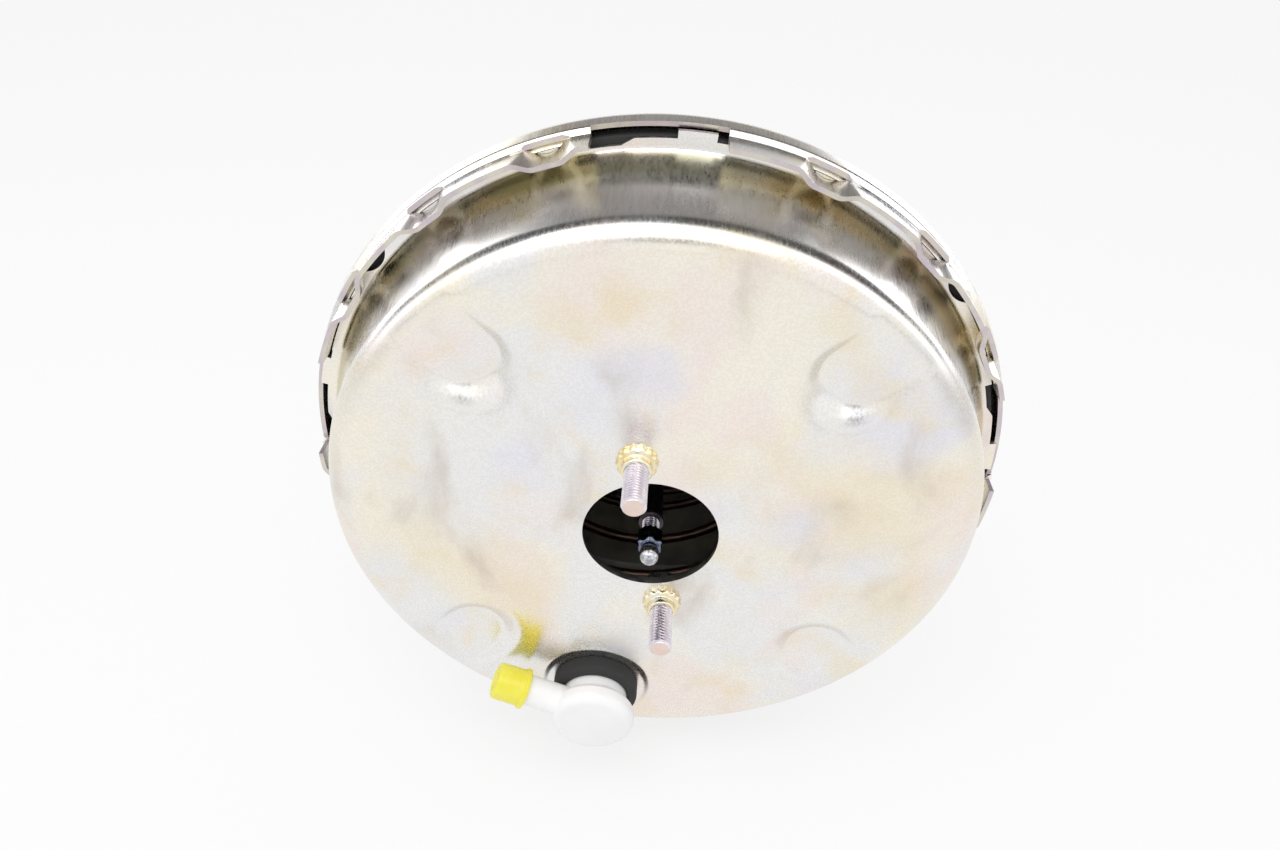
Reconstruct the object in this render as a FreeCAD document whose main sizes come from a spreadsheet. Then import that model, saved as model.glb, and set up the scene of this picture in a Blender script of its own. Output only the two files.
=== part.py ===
import FreeCAD, Part
import math
import os
import re

import Sketcher
from FreeCAD import Placement, Rotation, Vector

# A single-diaphragm vacuum brake booster, in millimetres.
# The frame: origin at the centre of the rear mounting face, +Y towards the pedal,
# -Y towards the master cylinder, +Z up, +X to the right as seen from the front.
# Axial sizes of inner pieces are given as y, so forward of the mounting face is negative.

# Sizes: alias, value or formula, meaning. What seats on or lines up with another piece has a formula.
SIZES = [
    ("BoosterDepth", 98.0, "front face corner plane to rear mounting face"),
    ("SheetThickness", 1.6, "pressed steel sheet of both shells"),
    ("SoftGap", 0.3, "clearance around soft or loosely seated pieces"),
    ("FitGap", 0.05, "radial clearance of running fits"),
    ("PaperGap", 0.1, "axial play between stacked inner pieces"),
    ("CupRadius", 111.5, "front shell outer radius at the front corner"),
    ("CupFlare", 1.2, "growth of the cup's radius towards the flange"),
    ("CupRootRadius", "=CupRadius + CupFlare", "front shell outer radius where the flange begins"),
    ("CornerRadius", 9.0, "outer rounding between face and side wall"),
    ("RootFillet", 7.5, "rounding between side wall and flange"),
    ("FaceRise", 3.1, "how far the middle of the face stands in front of the corner plane"),
    ("FaceFlatRadius", 47.0, "flat seat of the master cylinder"),
    ("FaceBlendRadius", 160.0, "rounding from the flat seat to the sloping face"),
    ("FlangeSetback", 38.2, "corner plane to the front of the flange"),
    ("FlangeWidth", 10.2, "flange edge beyond the cup's root"),
    ("FlangeRadius", "=CupRootRadius + FlangeWidth", "front shell flange outer radius"),
    ("PilotRadius", 23.3, "centre hole of the front shell"),
    ("PocketLength", 28.5, "length of a pocket floor along its slope's run"),
    ("PocketEdge", 6.5, "outer end of a pocket floor from the cup's radius"),
    ("PocketOuterEnd", "=CupRadius - PocketEdge", "radius at which a pocket floor meets the face"),
    ("PocketInnerEnd", "=PocketOuterEnd - PocketLength", "radius at which a pocket begins"),
    ("PocketHalfWidth", 11.6, "half width of a pocket floor"),
    ("PocketDepth", 5.0, "depth of a pocket floor at its inner end"),
    ("PocketWallSlope", 45.0, "pocket wall angle from the floor's normal"),
    ("PocketClock", 45.0, "angle of the first pocket from +X"),
    ("PocketCount", 4, "number of stiffening pockets"),
    ("ValveInset", 23.1, "check valve axis from the cup's radius"),
    ("ValveRadius", "=CupRadius - ValveInset", "check valve axis from the booster axis"),
    ("ValveClock", -102.2, "check valve angle from +X"),
    ("ValvePadRadius", 19.6, "flat pad pressed in for the grommet"),
    ("ValvePadSetback", 0.7, "pad plane in front of the corner plane, negative behind"),
    ("ValveHoleRadius", 14.0, "grommet hole in the pad"),
    ("NotchRadius", 8.0, "crescent notch in the flange edge"),
    ("NotchReach", 2.6, "depth of a crescent notch"),
    ("NotchClock", 50.8, "angle of the crescent notches from the vertical"),
    ("WindowHalfWidth", 20.6, "half width of a window in the rear shell's skirt"),
    ("WindowDepth", 11.4, "length of a window from the skirt's free edge"),
    ("WindowClock", 80.0, "angle of the side windows from the vertical"),
    ("WindowLean", 1.7, "angle of the top window from the vertical"),
    ("WindowEdgeCut", 0.3, "how far the flange edge is set in inside a window"),
    ("WindowEdgeRadius", "=FlangeRadius - WindowEdgeCut", "flange radius inside a window"),
    ("WindowStep", 2.0, "extra step of the flange edge at the left of a window"),
    ("FlangeGap", 0.3, "gap between the flange edge and the skirt"),
    ("SkirtRadius", "=FlangeRadius + FlangeGap + SheetThickness", "outer radius of the skirt"),
    ("KeyTabReach", 0.2, "how far a key tab stands out of the skirt"),
    ("KeyTabRadius", "=SkirtRadius + KeyTabReach", "outer end of the key tab that stands in a window"),
    ("KeyTabStart", 5.5, "key tab from the window's middle"),
    ("KeyTabWidth", 11.9, "key tab width"),
    ("StudRadius", 4.0, "M8 master cylinder and firewall studs"),
    ("StudNeckRadius", 3.6, "rolled blank between a front stud's seat and its thread"),
    ("StudSpacing", 65.0, "distance between the two master cylinder studs"),
    ("StudClock", 99.6, "angle of the upper master cylinder stud from +X"),
    ("FrontStudReach", 22.1, "front stud tip in front of the seat"),
    ("StudShankRadius", 4.9, "plain shank pressed through plate and shell"),
    ("StudHeadRadius", 8.0, "stud head radius"),
    ("StudHeadHeight", 2.6, "stud head height"),
    ("StudTipChamfer", 0.9, "chamfer at a stud's tip"),
    ("CollarRadius", 6.6, "staked collar outer radius"),
    ("CollarHeight", 2.4, "staked collar height"),
    ("CollarBevel", 0.7, "bevel of the staked collar"),
    ("RingRadius", 4.75, "smooth ring above the staked collar"),
    ("RingHeight", 3.0, "smooth ring height"),
    ("PlateThickness", 2.5, "reinforcement plate thickness"),
    ("PlateEdge", 4.5, "reinforcement plates' edge inside the flat that they back"),
    ("PlateBoreGap", 1.0, "front reinforcement plate's bore behind the centre hole's edge"),
    ("FrontPlateRadius", "=FaceFlatRadius - PlateEdge", "front reinforcement plate outer radius"),
    ("RearStudX", 80.0, "firewall stud spacing across"),
    ("RearStudZ", 60.0, "firewall stud spacing in height"),
    ("RearStudReach", 25.0, "firewall stud length behind the mounting face"),
    ("TubeRadius", 18.9, "valve body tube outer radius"),
    ("TubeWall", 2.4, "wall of the valve body tube"),
    ("TubeBore", "=TubeRadius - TubeWall", "valve body tube bore"),
    ("TubeRear", 48.0, "y of the tube's rear end"),
    ("SealWidth", 5.5, "room for the seal between tube and neck"),
    ("NeckRadius", "=TubeRadius + SealWidth + SheetThickness", "rear shell neck outer radius"),
    ("NeckLength", 16.0, "neck length behind the mounting face"),
    ("NeckBend", 2.4, "rounding between neck and mounting face"),
    ("RearFaceRadius", 64.0, "edge of the mounting face"),
    ("RearPlateRadius", "=RearFaceRadius - PlateEdge", "rear reinforcement plate outer radius"),
    ("RearStepRun", 8.0, "width of the step around the mounting face"),
    ("RearStepRadius", "=RearFaceRadius + RearStepRun", "foot of the step around the mounting face"),
    ("RearStepDepth", 13.0, "step from mounting face to shoulder"),
    ("RearBend", 6.0, "roundings of the step"),
    ("RearShoulderDrop", 4.5, "slope of the shoulder out to the wall"),
    ("RearWallInset", 6.0, "rear wall inside the skirt's radius"),
    ("RearWallRadius", "=SkirtRadius - RearWallInset", "rear shell wall at the shoulder"),
    ("RearCorner", 15.0, "rounding between shoulder and wall"),
    ("RearWallFlare", 1.5, "growth of the wall radius towards the rim"),
    ("RimProud", 2.9, "rolled rim outside the skirt's radius"),
    ("RimRadius", "=SkirtRadius + RimProud", "outer radius of the rolled rim"),
    ("RimBehind", 5.8, "middle of the rolled rim behind the flange's front"),
    ("RimSetback", "=FlangeSetback + RimBehind", "middle of the rolled rim behind the corner plane"),
    ("RimHalfHeight", 4.5, "half height of the rolled rim"),
    ("RimBend", 4.0, "roundings of the rolled rim"),
    ("SkirtReach", 8.9, "free edge of the skirt in front of the flange"),
    ("SkirtSetback", "=FlangeSetback - SkirtReach", "free edge of the skirt behind the corner plane"),
    ("LanceCount", 18, "lances at equal pitch, those in a window are cut away"),
    ("LanceClock", 87.6, "angle of a lance from +X"),
    ("LanceInset", 3.4, "how far a lance is pressed in"),
    ("LanceHalfWidth", 10.0, "half width of a lance at the skirt"),
    ("LanceGap", 0.3, "gap between a lance and the flange it holds"),
    ("DiaphragmThickness", 2.0, "rubber web of the diaphragm"),
    ("DiaphragmWallGap", 3.0, "room between the diaphragm's rolled wall and the shell"),
    ("DiaphragmCorner", 10.0, "bevel between the diaphragm's web and its rolled wall"),
    ("BeadHeight", 6.2, "height of the diaphragm's clamped bead"),
    ("LipWidth", 5.0, "width of the diaphragm's lip on the tube"),
    ("LipHeight", 4.0, "height of the diaphragm's lip on the tube"),
    ("SupportThickness", 1.2, "sheet of the diaphragm's support plate"),
    ("SupportInset", 22.0, "edge of the support plate from the rear wall's radius"),
    ("SupportTurn", 9.0, "depth of the support plate's turned edge"),
    ("SupportLean", 2.0, "outward lean of the support plate's turned edge"),
    ("ControlStroke", 2.0, "travel of the control plunger in the power piston"),
    ("HubRadius", 30.0, "front hub of the valve body"),
    ("HubFront", -38.0, "y of the hub's front face"),
    ("HubRear", -21.5, "y of the hub's rear face"),
    ("SnapHeight", 1.6, "snap ridge that holds the diaphragm's lip"),
    ("SnapLength", 1.5, "length of the snap ridge"),
    ("DiscRadius", 11.0, "reaction disc radius"),
    ("DiscThickness", 4.8, "reaction disc thickness"),
    ("DiscSeat", -44.0, "y of the floor under the reaction disc"),
    ("BossWall", 2.5, "wall of the boss around the reaction disc"),
    ("BossRadius", "=DiscRadius + BossWall", "boss that carries the reaction disc"),
    ("BossFront", -52.0, "y of the boss's front"),
    ("SeatFloor", -9.0, "y of the floor at the front of the tube bore"),
    ("SeatRadius", 12.5, "outer radius of the valve seat ring"),
    ("SeatWall", 1.5, "wall of the valve seat ring"),
    ("SeatTop", -3.0, "y of the valve seats"),
    ("PassageRadius", 1.5, "vacuum passage through the hub"),
    ("PlungerRadius", 7.5, "control plunger radius"),
    ("PlungerFront", -34.0, "y of the plunger's front shoulder"),
    ("AirSeatFlare", 1.7, "growth of the plunger's radius at its air seat"),
    ("PlungerSeatRadius", "=PlungerRadius + AirSeatFlare", "air seat of the plunger"),
    ("AirSeatHeight", 1.5, "straight length of the air seat, and of the cone below it"),
    ("NoseRadius", 4.5, "plunger nose radius"),
    ("NoseGap", 0.3, "gap left between nose and reaction disc at full control stroke"),
    ("NeckFront", -32.0, "y of the front of the plunger's waist"),
    ("WaistLength", 7.0, "length of the plunger's waist"),
    ("WaistRadius", 4.2, "radius of the plunger's waist"),
    ("KeyThickness", 2.5, "plunger key thickness"),
    ("KeyRear", -27.5, "y of the key's rear face"),
    ("KeyHalfWidth", 8.0, "half width of the plunger key"),
    ("KeyTop", "=HubRadius + 4", "height of the key's head above the axis"),
    ("KeyFoot", 9.0, "how far the key reaches below the axis"),
    ("BallRadius", 4.6, "ball end of the input rod"),
    ("BallGap", 0.15, "radial room around the ball in the plunger's socket"),
    ("BallCentre", -14.0, "y of the ball's centre"),
    ("BallNeckRun", 2.0, "length of the cone between ball and neck"),
    ("RodNeckRadius", 3.1, "input rod neck"),
    ("RodRadius", 4.5, "input rod shank"),
    ("RodShoulder", 20.0, "y of the rod's spring shoulder"),
    ("RodShoulderRadius", 9.2, "rod spring shoulder radius"),
    ("RodShoulderHeight", 1.6, "rod spring shoulder thickness"),
    ("RodShankLength", 8.0, "full shank in front of the spring shoulder"),
    ("ClevisThreadRadius", 5.0, "M10 thread of the input rod"),
    ("ThreadFront", 12.0, "thread of the input rod in front of the clevis"),
    ("ClevisFront", 72.0, "y of the clevis block's front"),
    ("ClevisPinY", 96.0, "y of the clevis pin's axis"),
    ("ClevisPinRadius", 5.0, "clevis pin hole radius"),
    ("ClevisEarWall", 5.0, "thickness of an ear"),
    ("ClevisGap", 6.0, "half of the slot between the ears"),
    ("ClevisHalfWidth", "=ClevisGap + ClevisEarWall", "half width over the clevis's ears"),
    ("ClevisEyeWall", 4.5, "metal around the clevis pin hole"),
    ("ClevisEarRadius", "=ClevisPinRadius + ClevisEyeWall", "rounding of the ears about the pin"),
    ("ClevisGrip", 13.0, "length of the rod's thread inside the clevis"),
    ("RearRodLength", "=ClevisFront + ClevisGrip", "y of the input rod's threaded end"),
    ("SlotFloor", 3.0, "floor of the clevis's slot in front of the rod's end"),
    ("NutFlats", 17.0, "lock nut across flats"),
    ("NutHeight", 6.0, "lock nut height"),
    ("PoppetBore", 6.2, "bore of the poppet's seat lip"),
    ("PoppetBead", 6.0, "y of the front of the poppet's bead"),
    ("PoppetBeadHeight", 3.0, "height of the poppet's bead"),
    ("PoppetLip", 2.0, "thickness of the poppet's seat lip"),
    ("PoppetLipReach", 1.0, "poppet's outer radius beyond the valve seat ring"),
    ("RetainerBore", 6.9, "bore of the poppet's retainer"),
    ("RetainerThickness", 1.2, "poppet retainer's sheet"),
    ("LipSpringRadius", 11.0, "poppet spring mean radius"),
    ("LipSpringWire", 0.5, "poppet spring wire radius"),
    ("RodSpringRadius", 8.2, "rod return spring mean radius"),
    ("RodSpringWire", 0.7, "rod return spring wire radius"),
    ("SmallSpringTurns", 4, "turns of the poppet spring and the rod return spring"),
    ("FilterBore", 7.4, "bore of the filters around the rod"),
    ("FilterFront", 25.0, "y of the air filter's front"),
    ("FilterLength", 12.0, "air filter length"),
    ("FeltLength", 4.0, "silencer felt length"),
    ("FilterRingHeight", 2.5, "filter retainer height"),
    ("FilterRingRib", 2.0, "slope of the filter retainer's bore"),
    ("SealFront", 2.0, "y of the neck seal's front"),
    ("SealLipHeight", 2.5, "height of each lip of the neck seal"),
    ("SealSlope", 1.5, "slope from a lip of the neck seal to its waist"),
    ("SealWaist", 2.2, "room between the neck seal's waist and the tube"),
    ("SealLength", 11.0, "length of the neck seal"),
    ("CapWallGap", 1.0, "room between the tube and the seal retainer, and its collar's reach"),
    ("CapCollar", 1.4, "thickness of the seal retainer's collar"),
    ("BootThickness", 1.5, "rubber of the dust boot"),
    ("BootFront", 5.0, "y of the dust boot's front end"),
    ("BootCollar", 6.0, "dust boot's collar behind the neck's end"),
    ("BootTubeGap", 4.0, "room between the dust boot and the tube's end"),
    ("BootRodGap", 2.0, "room between the dust boot's end and the rod"),
    ("BootStep", 2.0, "where the boot's wide cone ends, behind the tube"),
    ("BootCone", 6.0, "length of the boot's steep cone"),
    ("BootSleeve", 5.0, "length of the boot's sleeve on the rod"),
    ("ScrewRadius", 3.0, "M6 adjuster screw radius"),
    ("RodPushWall", 0.9, "wall of the output rod around the adjuster"),
    ("RodPushRadius", "=ScrewRadius + RodPushWall", "output rod shank radius"),
    ("RodCollarStep", 0.6, "step of the collar at the output rod's front end"),
    ("RodCollarHeight", 1.3, "height of that collar"),
    ("RodPushFront", -94.7, "y of the output rod's front end"),
    ("RodHeadHeight", 2.6, "height of the output rod's head"),
    ("RodHeadGap", 0.2, "radial room around the output rod's head"),
    ("KeeperSheet", 0.9, "sheet of the output rod's retainer"),
    ("KeeperLength", 7.0, "length of the output rod's retainer"),
    ("KeeperBoreGap", 3.0, "room between that retainer and the output rod"),
    ("KeeperGap", 1.0, "that retainer's skin from the boss, in radius and length"),
    ("ScrewDepth", 14.0, "adjuster thread inside the output rod"),
    ("ScrewRoom", 2.0, "bore of the output rod beyond the adjuster's end"),
    ("HexFlats", 8.0, "adjuster hexagon across flats"),
    ("HexRear", -100.1, "y of the hexagon's rear"),
    ("HexLength", 7.0, "hexagon length"),
    ("HexBevel", 0.7, "bevel of the hexagon's corners"),
    ("TipRadius", 3.2, "domed tip radius"),
    ("TipFront", -113.9, "y of the domed tip's end"),
    ("TipNeck", 0.9, "how far the neck behind the dome is set in"),
    ("SpringRadius", 46.3, "return spring mean radius"),
    ("SpringWire", 2.0, "return spring wire radius"),
    ("SpringTurns", 5, "return spring turns"),
    ("SpringSeatGap", 1.2, "play at the return spring's front end"),
    ("GrommetLip", 2.7, "grommet beyond its hole's radius"),
    ("GrommetRadius", "=ValveHoleRadius + GrommetLip", "grommet outer radius"),
    ("GrommetReach", 7.0, "grommet height in front of the pad"),
    ("GrommetBevel", 1.0, "bevel of the grommet's edge"),
    ("GrommetRear", 5.5, "grommet's end behind the pad's plane"),
    ("GrommetBarb", 2.0, "grommet's inner lip beyond its hole's radius"),
    ("GrommetStep", 2.0, "step of the grommet's bore in front of the pad"),
    ("GrommetSeam", 0.05, "play between the grommet's groove and the sheet"),
    ("StemRadius", 12.7, "check valve neck radius"),
    ("StemTailRadius", 9.9, "check valve stem inside the grommet"),
    ("StemRear", 9.0, "end of the check valve's stem behind the pad"),
    ("StemBarb", 1.6, "barb of the stem beyond its radius"),
    ("StemBarbFront", 5.8, "barb's front behind the pad"),
    ("StemBore", 5.0, "bore through the check valve's stem"),
    ("HeadRadius", 16.2, "check valve head radius"),
    ("HeadFront", 20.0, "front of the head above the pad"),
    ("HeadRear", 12.0, "rear of the head above the pad"),
    ("HeadBevel", 1.4, "bevel of the head's front edge"),
    ("HeadWall", 2.5, "wall between the chamber and the head's front"),
    ("SplitGap", 0.4, "split between stem and cover in front of the grommet"),
    ("ChamberRadius", 8.0, "check valve chamber bore"),
    ("ChamberFloor", 3.0, "floor of the chamber in front of the pad"),
    ("DiscGap", 0.6, "radial room around the check valve's disc"),
    ("DiscPlate", 1.8, "thickness of the check valve's disc"),
    ("DiscKnob", 4.0, "radius of the knob on the check valve's disc"),
    ("DiscHeight", 3.0, "height of the check valve's disc with its knob"),
    ("ValveSpringRadius", 5.2, "check valve spring mean radius"),
    ("ValveSpringWire", 0.4, "check valve spring wire radius"),
    ("ValveSpringTurns", 5, "check valve spring turns"),
    ("PortClock", 157.4, "direction of the hose port from +X"),
    ("PortRadius", 5.8, "hose port radius"),
    ("PortWall", 2.4, "wall of the hose port"),
    ("PortBore", "=PortRadius - PortWall", "hose port bore radius"),
    ("PortHeight", 13.3, "hose port axis above the pad"),
    ("PortLength", 38.9, "hose port end from the valve axis"),
    ("CapGrip", 10.9, "length of the port inside the cap"),
    ("CapMouth", "=PortLength - CapGrip", "cap mouth from the valve axis"),
    ("CapEnd", 1.3, "thickness of the cap's end"),
    ("CapLength", "=CapGrip + SoftGap + CapEnd", "cap length"),
    ("CapWall", 1.15, "cap wall"),
    ("CapRadius", "=PortRadius + CapWall", "cap outer radius"),
    ("CapLip", 0.95, "step of the cap's lip"),
    ("CapLipHeight", 1.6, "height of the cap's lip"),
]

DOC = FreeCAD.newDocument("BrakeBooster")
SHEET = DOC.addObject("Spreadsheet::Sheet", "Sizes")
for line, (alias, size, meaning) in enumerate(SIZES, 1):
    SHEET.set(f"A{line}", alias)
    SHEET.set(f"B{line}", str(size))
    SHEET.set(f"C{line}", meaning)
    SHEET.setAlias(f"B{line}", alias)
DOC.recompute()

# Planes along the axis that several pieces share
FACE = "-(BoosterDepth + FaceRise)"
CORNER_PLANE = "-BoosterDepth"
FLANGE_FRONT = "(FlangeSetback - BoosterDepth)"
FLANGE_REAR = "(FlangeSetback - BoosterDepth + SheetThickness)"
SKIRT_EDGE = "(SkirtSetback - BoosterDepth)"
FACE_INSIDE = "(SheetThickness - BoosterDepth - FaceRise)"
PAD_PLANE = "(-BoosterDepth + ValvePadSetback)"
WEB_FRONT = "(HubRear + SupportThickness + 2*SoftGap - PaperGap)"

# Spring wire is drawn with flat facets, which keeps the springs light
WIRE_SIDES = 6
SECTIONS_PER_TURN = 14

# Sides of the axis on which the firewall studs stand
REAR_STUD_SIDES = ((1, 1), (-1, 1), (-1, -1), (1, -1))

# Legs of a flat bevel that stands for a rounding, as a share of its radius
BEVEL = 0.6

PIECES = {}


def bound(expression):
    """An expression on the sheet's aliases, as other objects have to write it."""
    return re.sub(r"\b([A-Z][A-Za-z]+)\b", r"Sizes.\1", str(expression))


def number(expression):
    """The value that an expression on the sheet's aliases has now."""
    return float(SHEET.evalExpression(bound(expression)))


def bind(thing, **properties):
    """Bind properties to expressions; a double underscore in a name stands for a dot."""
    for name, expression in properties.items():
        thing.setExpression(name.replace("__", "."), bound(expression))


def rounding(before, spot, after, radius):
    """Tangent points, centre and sense of the arc that rounds one corner."""
    to_before = (before - spot).normalize()
    to_after = (after - spot).normalize()
    half = to_before.getAngle(to_after) / 2
    reach = radius / math.tan(half)
    centre = spot + (to_before + to_after).normalize() * (radius / math.sin(half))
    turns_left = to_after.cross(to_before).z > 0
    return spot + to_before * reach, spot + to_after * reach, centre, turns_left


def draw(sketch, corners, closed=True):
    """Lines through corners given as expressions (x, y) or, where rounded, (x, y, radius)."""
    spots = [Vector(number(c[0]), number(c[1]), 0) for c in corners]
    count = len(corners)
    arrive, leave, arcs = list(spots), list(spots), {}
    for i, corner in enumerate(corners):
        if len(corner) > 2:
            after = spots[(i + 1) % count]
            arrive[i], leave[i], centre, left = rounding(spots[i - 1], spots[i], after, number(corner[2]))
            arcs[i] = (centre, left)
    lines = []
    for i in range(count if closed else count - 1):
        j = (i + 1) % count
        lines.append(sketch.addGeometry(Part.LineSegment(leave[i], arrive[j])))
    for i, corner in enumerate(corners):
        into, out_of = lines[i - 1], lines[i % len(lines)]
        if i in arcs:
            round_corner(sketch, corner, arcs[i], arrive[i], leave[i], spots[i], into, out_of)
            continue
        if not closed and i == count - 1:
            fix_point(sketch, into, 2, corner)
            continue
        if closed or i > 0:
            sketch.addConstraint(Sketcher.Constraint("Coincident", into, 2, out_of, 1))
        fix_point(sketch, out_of, 1, corner)


def round_corner(sketch, corner, arc, arrive, leave, spot, into, out_of):
    """One tangent arc between two lines, with its corner held by a construction point."""
    centre, left = arc
    first, last = (arrive, leave) if left else (leave, arrive)
    start = math.atan2(first.y - centre.y, first.x - centre.x)
    end = math.atan2(last.y - centre.y, last.x - centre.x)
    circle = Part.Circle(centre, Vector(0, 0, 1), (arrive - centre).Length)
    bend = sketch.addGeometry(Part.ArcOfCircle(circle, start, end))
    mark = sketch.addGeometry(Part.Point(spot), True)
    sketch.addConstraint([
        Sketcher.Constraint("Tangent", into, 2, bend, 1 if left else 2),
        Sketcher.Constraint("Tangent", bend, 2 if left else 1, out_of, 1),
        Sketcher.Constraint("PointOnObject", mark, 1, into),
        Sketcher.Constraint("PointOnObject", mark, 1, out_of),
    ])
    radius = sketch.addConstraint(Sketcher.Constraint("Radius", bend, number(corner[2])))
    sketch.setExpression(f"Constraints[{radius}]", bound(corner[2]))
    fix_point(sketch, mark, 1, corner)


def fix_point(sketch, geometry, end, corner):
    """Hold one point of the sketch at the expressions of a corner."""
    for kind, expression in zip(("DistanceX", "DistanceY"), corner):
        place = number(expression)
        index = sketch.addConstraint(Sketcher.Constraint(kind, -1, 1, geometry, end, place))
        sketch.setExpression(f"Constraints[{index}]", bound(expression))


def draw_circle(sketch, x, y, radius):
    """A circle whose centre and radius are expressions."""
    centre = Vector(number(x), number(y), 0)
    ring = sketch.addGeometry(Part.Circle(centre, Vector(0, 0, 1), number(radius)))
    index = sketch.addConstraint(Sketcher.Constraint("Radius", ring, number(radius)))
    sketch.setExpression(f"Constraints[{index}]", bound(radius))
    fix_point(sketch, ring, 3, (x, y))


def new_body(label):
    body = DOC.addObject("PartDesign::Body", label)
    body.Label = label
    return body


def sketch_on(body, role, name):
    """A sketch on one of the body's own origin planes."""
    plane = next(o for o in body.Origin.OriginFeatures if o.Role == role)
    sketch = body.newObject("Sketcher::SketchObject", name)
    sketch.AttachmentSupport = [(plane, "")]
    sketch.MapMode = "FlatFace"
    return sketch


def front_sketch(body, name, y):
    """A sketch parallel to the mounting face at y: its x is X, its y is Z, its normal -Y."""
    sketch = sketch_on(body, "XZ_Plane", name)
    bind(sketch, AttachmentOffset__Base__z=f"-({y})")
    return sketch


def revolve(body, sketch, kind="PartDesign::Revolution"):
    """A full turn of a sketch about the Y axis."""
    turn = body.newObject(kind, "Turn")
    turn.Profile = sketch
    turn.ReferenceAxis = (sketch, ["V_Axis"])
    turn.Angle = 360
    DOC.recompute()
    return turn


def turned(label, corners):
    """A body of revolution about the booster's axis; corners are (radius, y[, rounding])."""
    body = new_body(label)
    profile = sketch_on(body, "XY_Plane", label + "_profile")
    draw(profile, corners)
    revolve(body, profile)
    return body


def extrude(body, sketch, length, kind="PartDesign::Pad", towards_rear=False, taper=None):
    """A pad or pocket along the sketch's normal (-Y), or towards the rear (+Y)."""
    is_pocket = kind.endswith("Pocket")
    before = body.Tip.Shape.Volume if is_pocket else 0
    feature = body.newObject(kind, "Extrude")
    feature.Profile = sketch
    feature.Type = 0
    bind(feature, Length=length)
    feature.Reversed = towards_rear != is_pocket
    if taper is not None:
        bind(feature, TaperAngle=taper)
    DOC.recompute()
    if is_pocket and feature.Shape.Volume >= before:
        raise RuntimeError(f"{body.Label}: a pocket cut nothing")
    return feature


def repeat(body, features, axis_sketch, count, axis="V_Axis"):
    """Equal copies of features all round the Y axis."""
    pattern = body.newObject("PartDesign::PolarPattern", "Repeat")
    pattern.Originals = features
    pattern.Axis = (axis_sketch, [axis])
    pattern.Angle = 360
    bind(pattern, Occurrences=count)
    body.Tip = pattern
    DOC.recompute()
    return pattern


def sheet_ring(label, path, thickness):
    """A revolved sheet: the open path is one skin, the sheet lies to its right."""
    skin = DOC.addObject("Sketcher::SketchObject", label + "_skin")
    draw(skin, path, closed=False)
    sheet = DOC.addObject("Part::Offset2D", label + "_sheet")
    sheet.Source = skin
    sheet.Value = number(thickness)
    sheet.Mode = "Skin"
    sheet.Join = "Intersection"
    sheet.Fill = True
    bind(sheet, Value=thickness)
    ring = DOC.addObject("Part::Revolution", label + "_ring")
    ring.Source = sheet
    ring.Axis = Vector(0, 1, 0)
    ring.Angle = 360
    ring.Solid = True
    DOC.recompute()
    return ring


def turn_about_axis(thing, clock):
    """Turn a piece that was drawn at the top so that it stands at an angle from +X."""
    thing.Placement = Placement(Vector(), Rotation(Vector(0, 1, 0), 1))
    bind(thing, Placement__Rotation__Angle=f"90 - ({clock})")


def cut(label, base, tools):
    """Base minus one tool or several."""
    result = DOC.addObject("Part::Cut", label)
    result.Base = base
    result.Tool = tools[0] if len(tools) == 1 else fuse(label + "_tools", tools)
    return result


def fuse(label, parts):
    result = DOC.addObject("Part::MultiFuse", label)
    result.Shapes = parts
    return result


def group(label, parts):
    """Separate solids that share a node."""
    result = DOC.addObject("Part::Compound", label)
    result.Links = parts
    return result


def bar(label, radius, y, length, x="0", z="0"):
    """A cylinder along +Y from y."""
    rod = DOC.addObject("Part::Cylinder", label)
    rod.Placement = Placement(Vector(), Rotation(Vector(1, 0, 0), -90))
    bind(rod, Radius=radius, Height=length,
         Placement__Base__x=x, Placement__Base__y=y, Placement__Base__z=z)
    return rod


def block(label, low, high):
    """A box between two corners given as expressions."""
    box = DOC.addObject("Part::Box", label)
    bind(box, Length=f"({high[0]}) - ({low[0]})", Width=f"({high[1]}) - ({low[1]})",
         Height=f"({high[2]}) - ({low[2]})",
         Placement__Base__x=low[0], Placement__Base__y=low[1], Placement__Base__z=low[2])
    return box


def coil(label, radius, wire, front, rear, turns, x="0", z="0"):
    """A coil spring about +Y between two planes, as a ruled loft of wire sections."""
    mean, thick, count = number(radius), number(wire), int(number(turns))
    start = number(front) + thick
    climb = (number(rear) - thick - start) / (2 * math.pi * count)
    sections = []
    for step in range(SECTIONS_PER_TURN * count + 1):
        angle = 2 * math.pi * step / SECTIONS_PER_TURN
        outward = Vector(math.cos(angle), 0, math.sin(angle))
        along = Vector(-mean * math.sin(angle), climb, mean * math.cos(angle)).normalize()
        side = along.cross(outward)
        centre = outward * mean + Vector(0, start + climb * angle, 0)
        ring = []
        for corner in range(WIRE_SIDES + 1):
            turn = 2 * math.pi * corner / WIRE_SIDES
            ring.append(centre + outward * (thick * math.cos(turn)) + side * (thick * math.sin(turn)))
        sections.append(Part.makePolygon(ring))
    spring = DOC.addObject("Part::Feature", label)
    spring.Shape = Part.makeLoft(sections, True, True)
    spring.Placement = Placement(Vector(number(x), 0, number(z)), Rotation())
    return spring


def keep(node, thing):
    """Name a finished piece and enter it in the list of nodes."""
    thing.Label = node
    PIECES[node] = thing
    return thing


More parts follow.
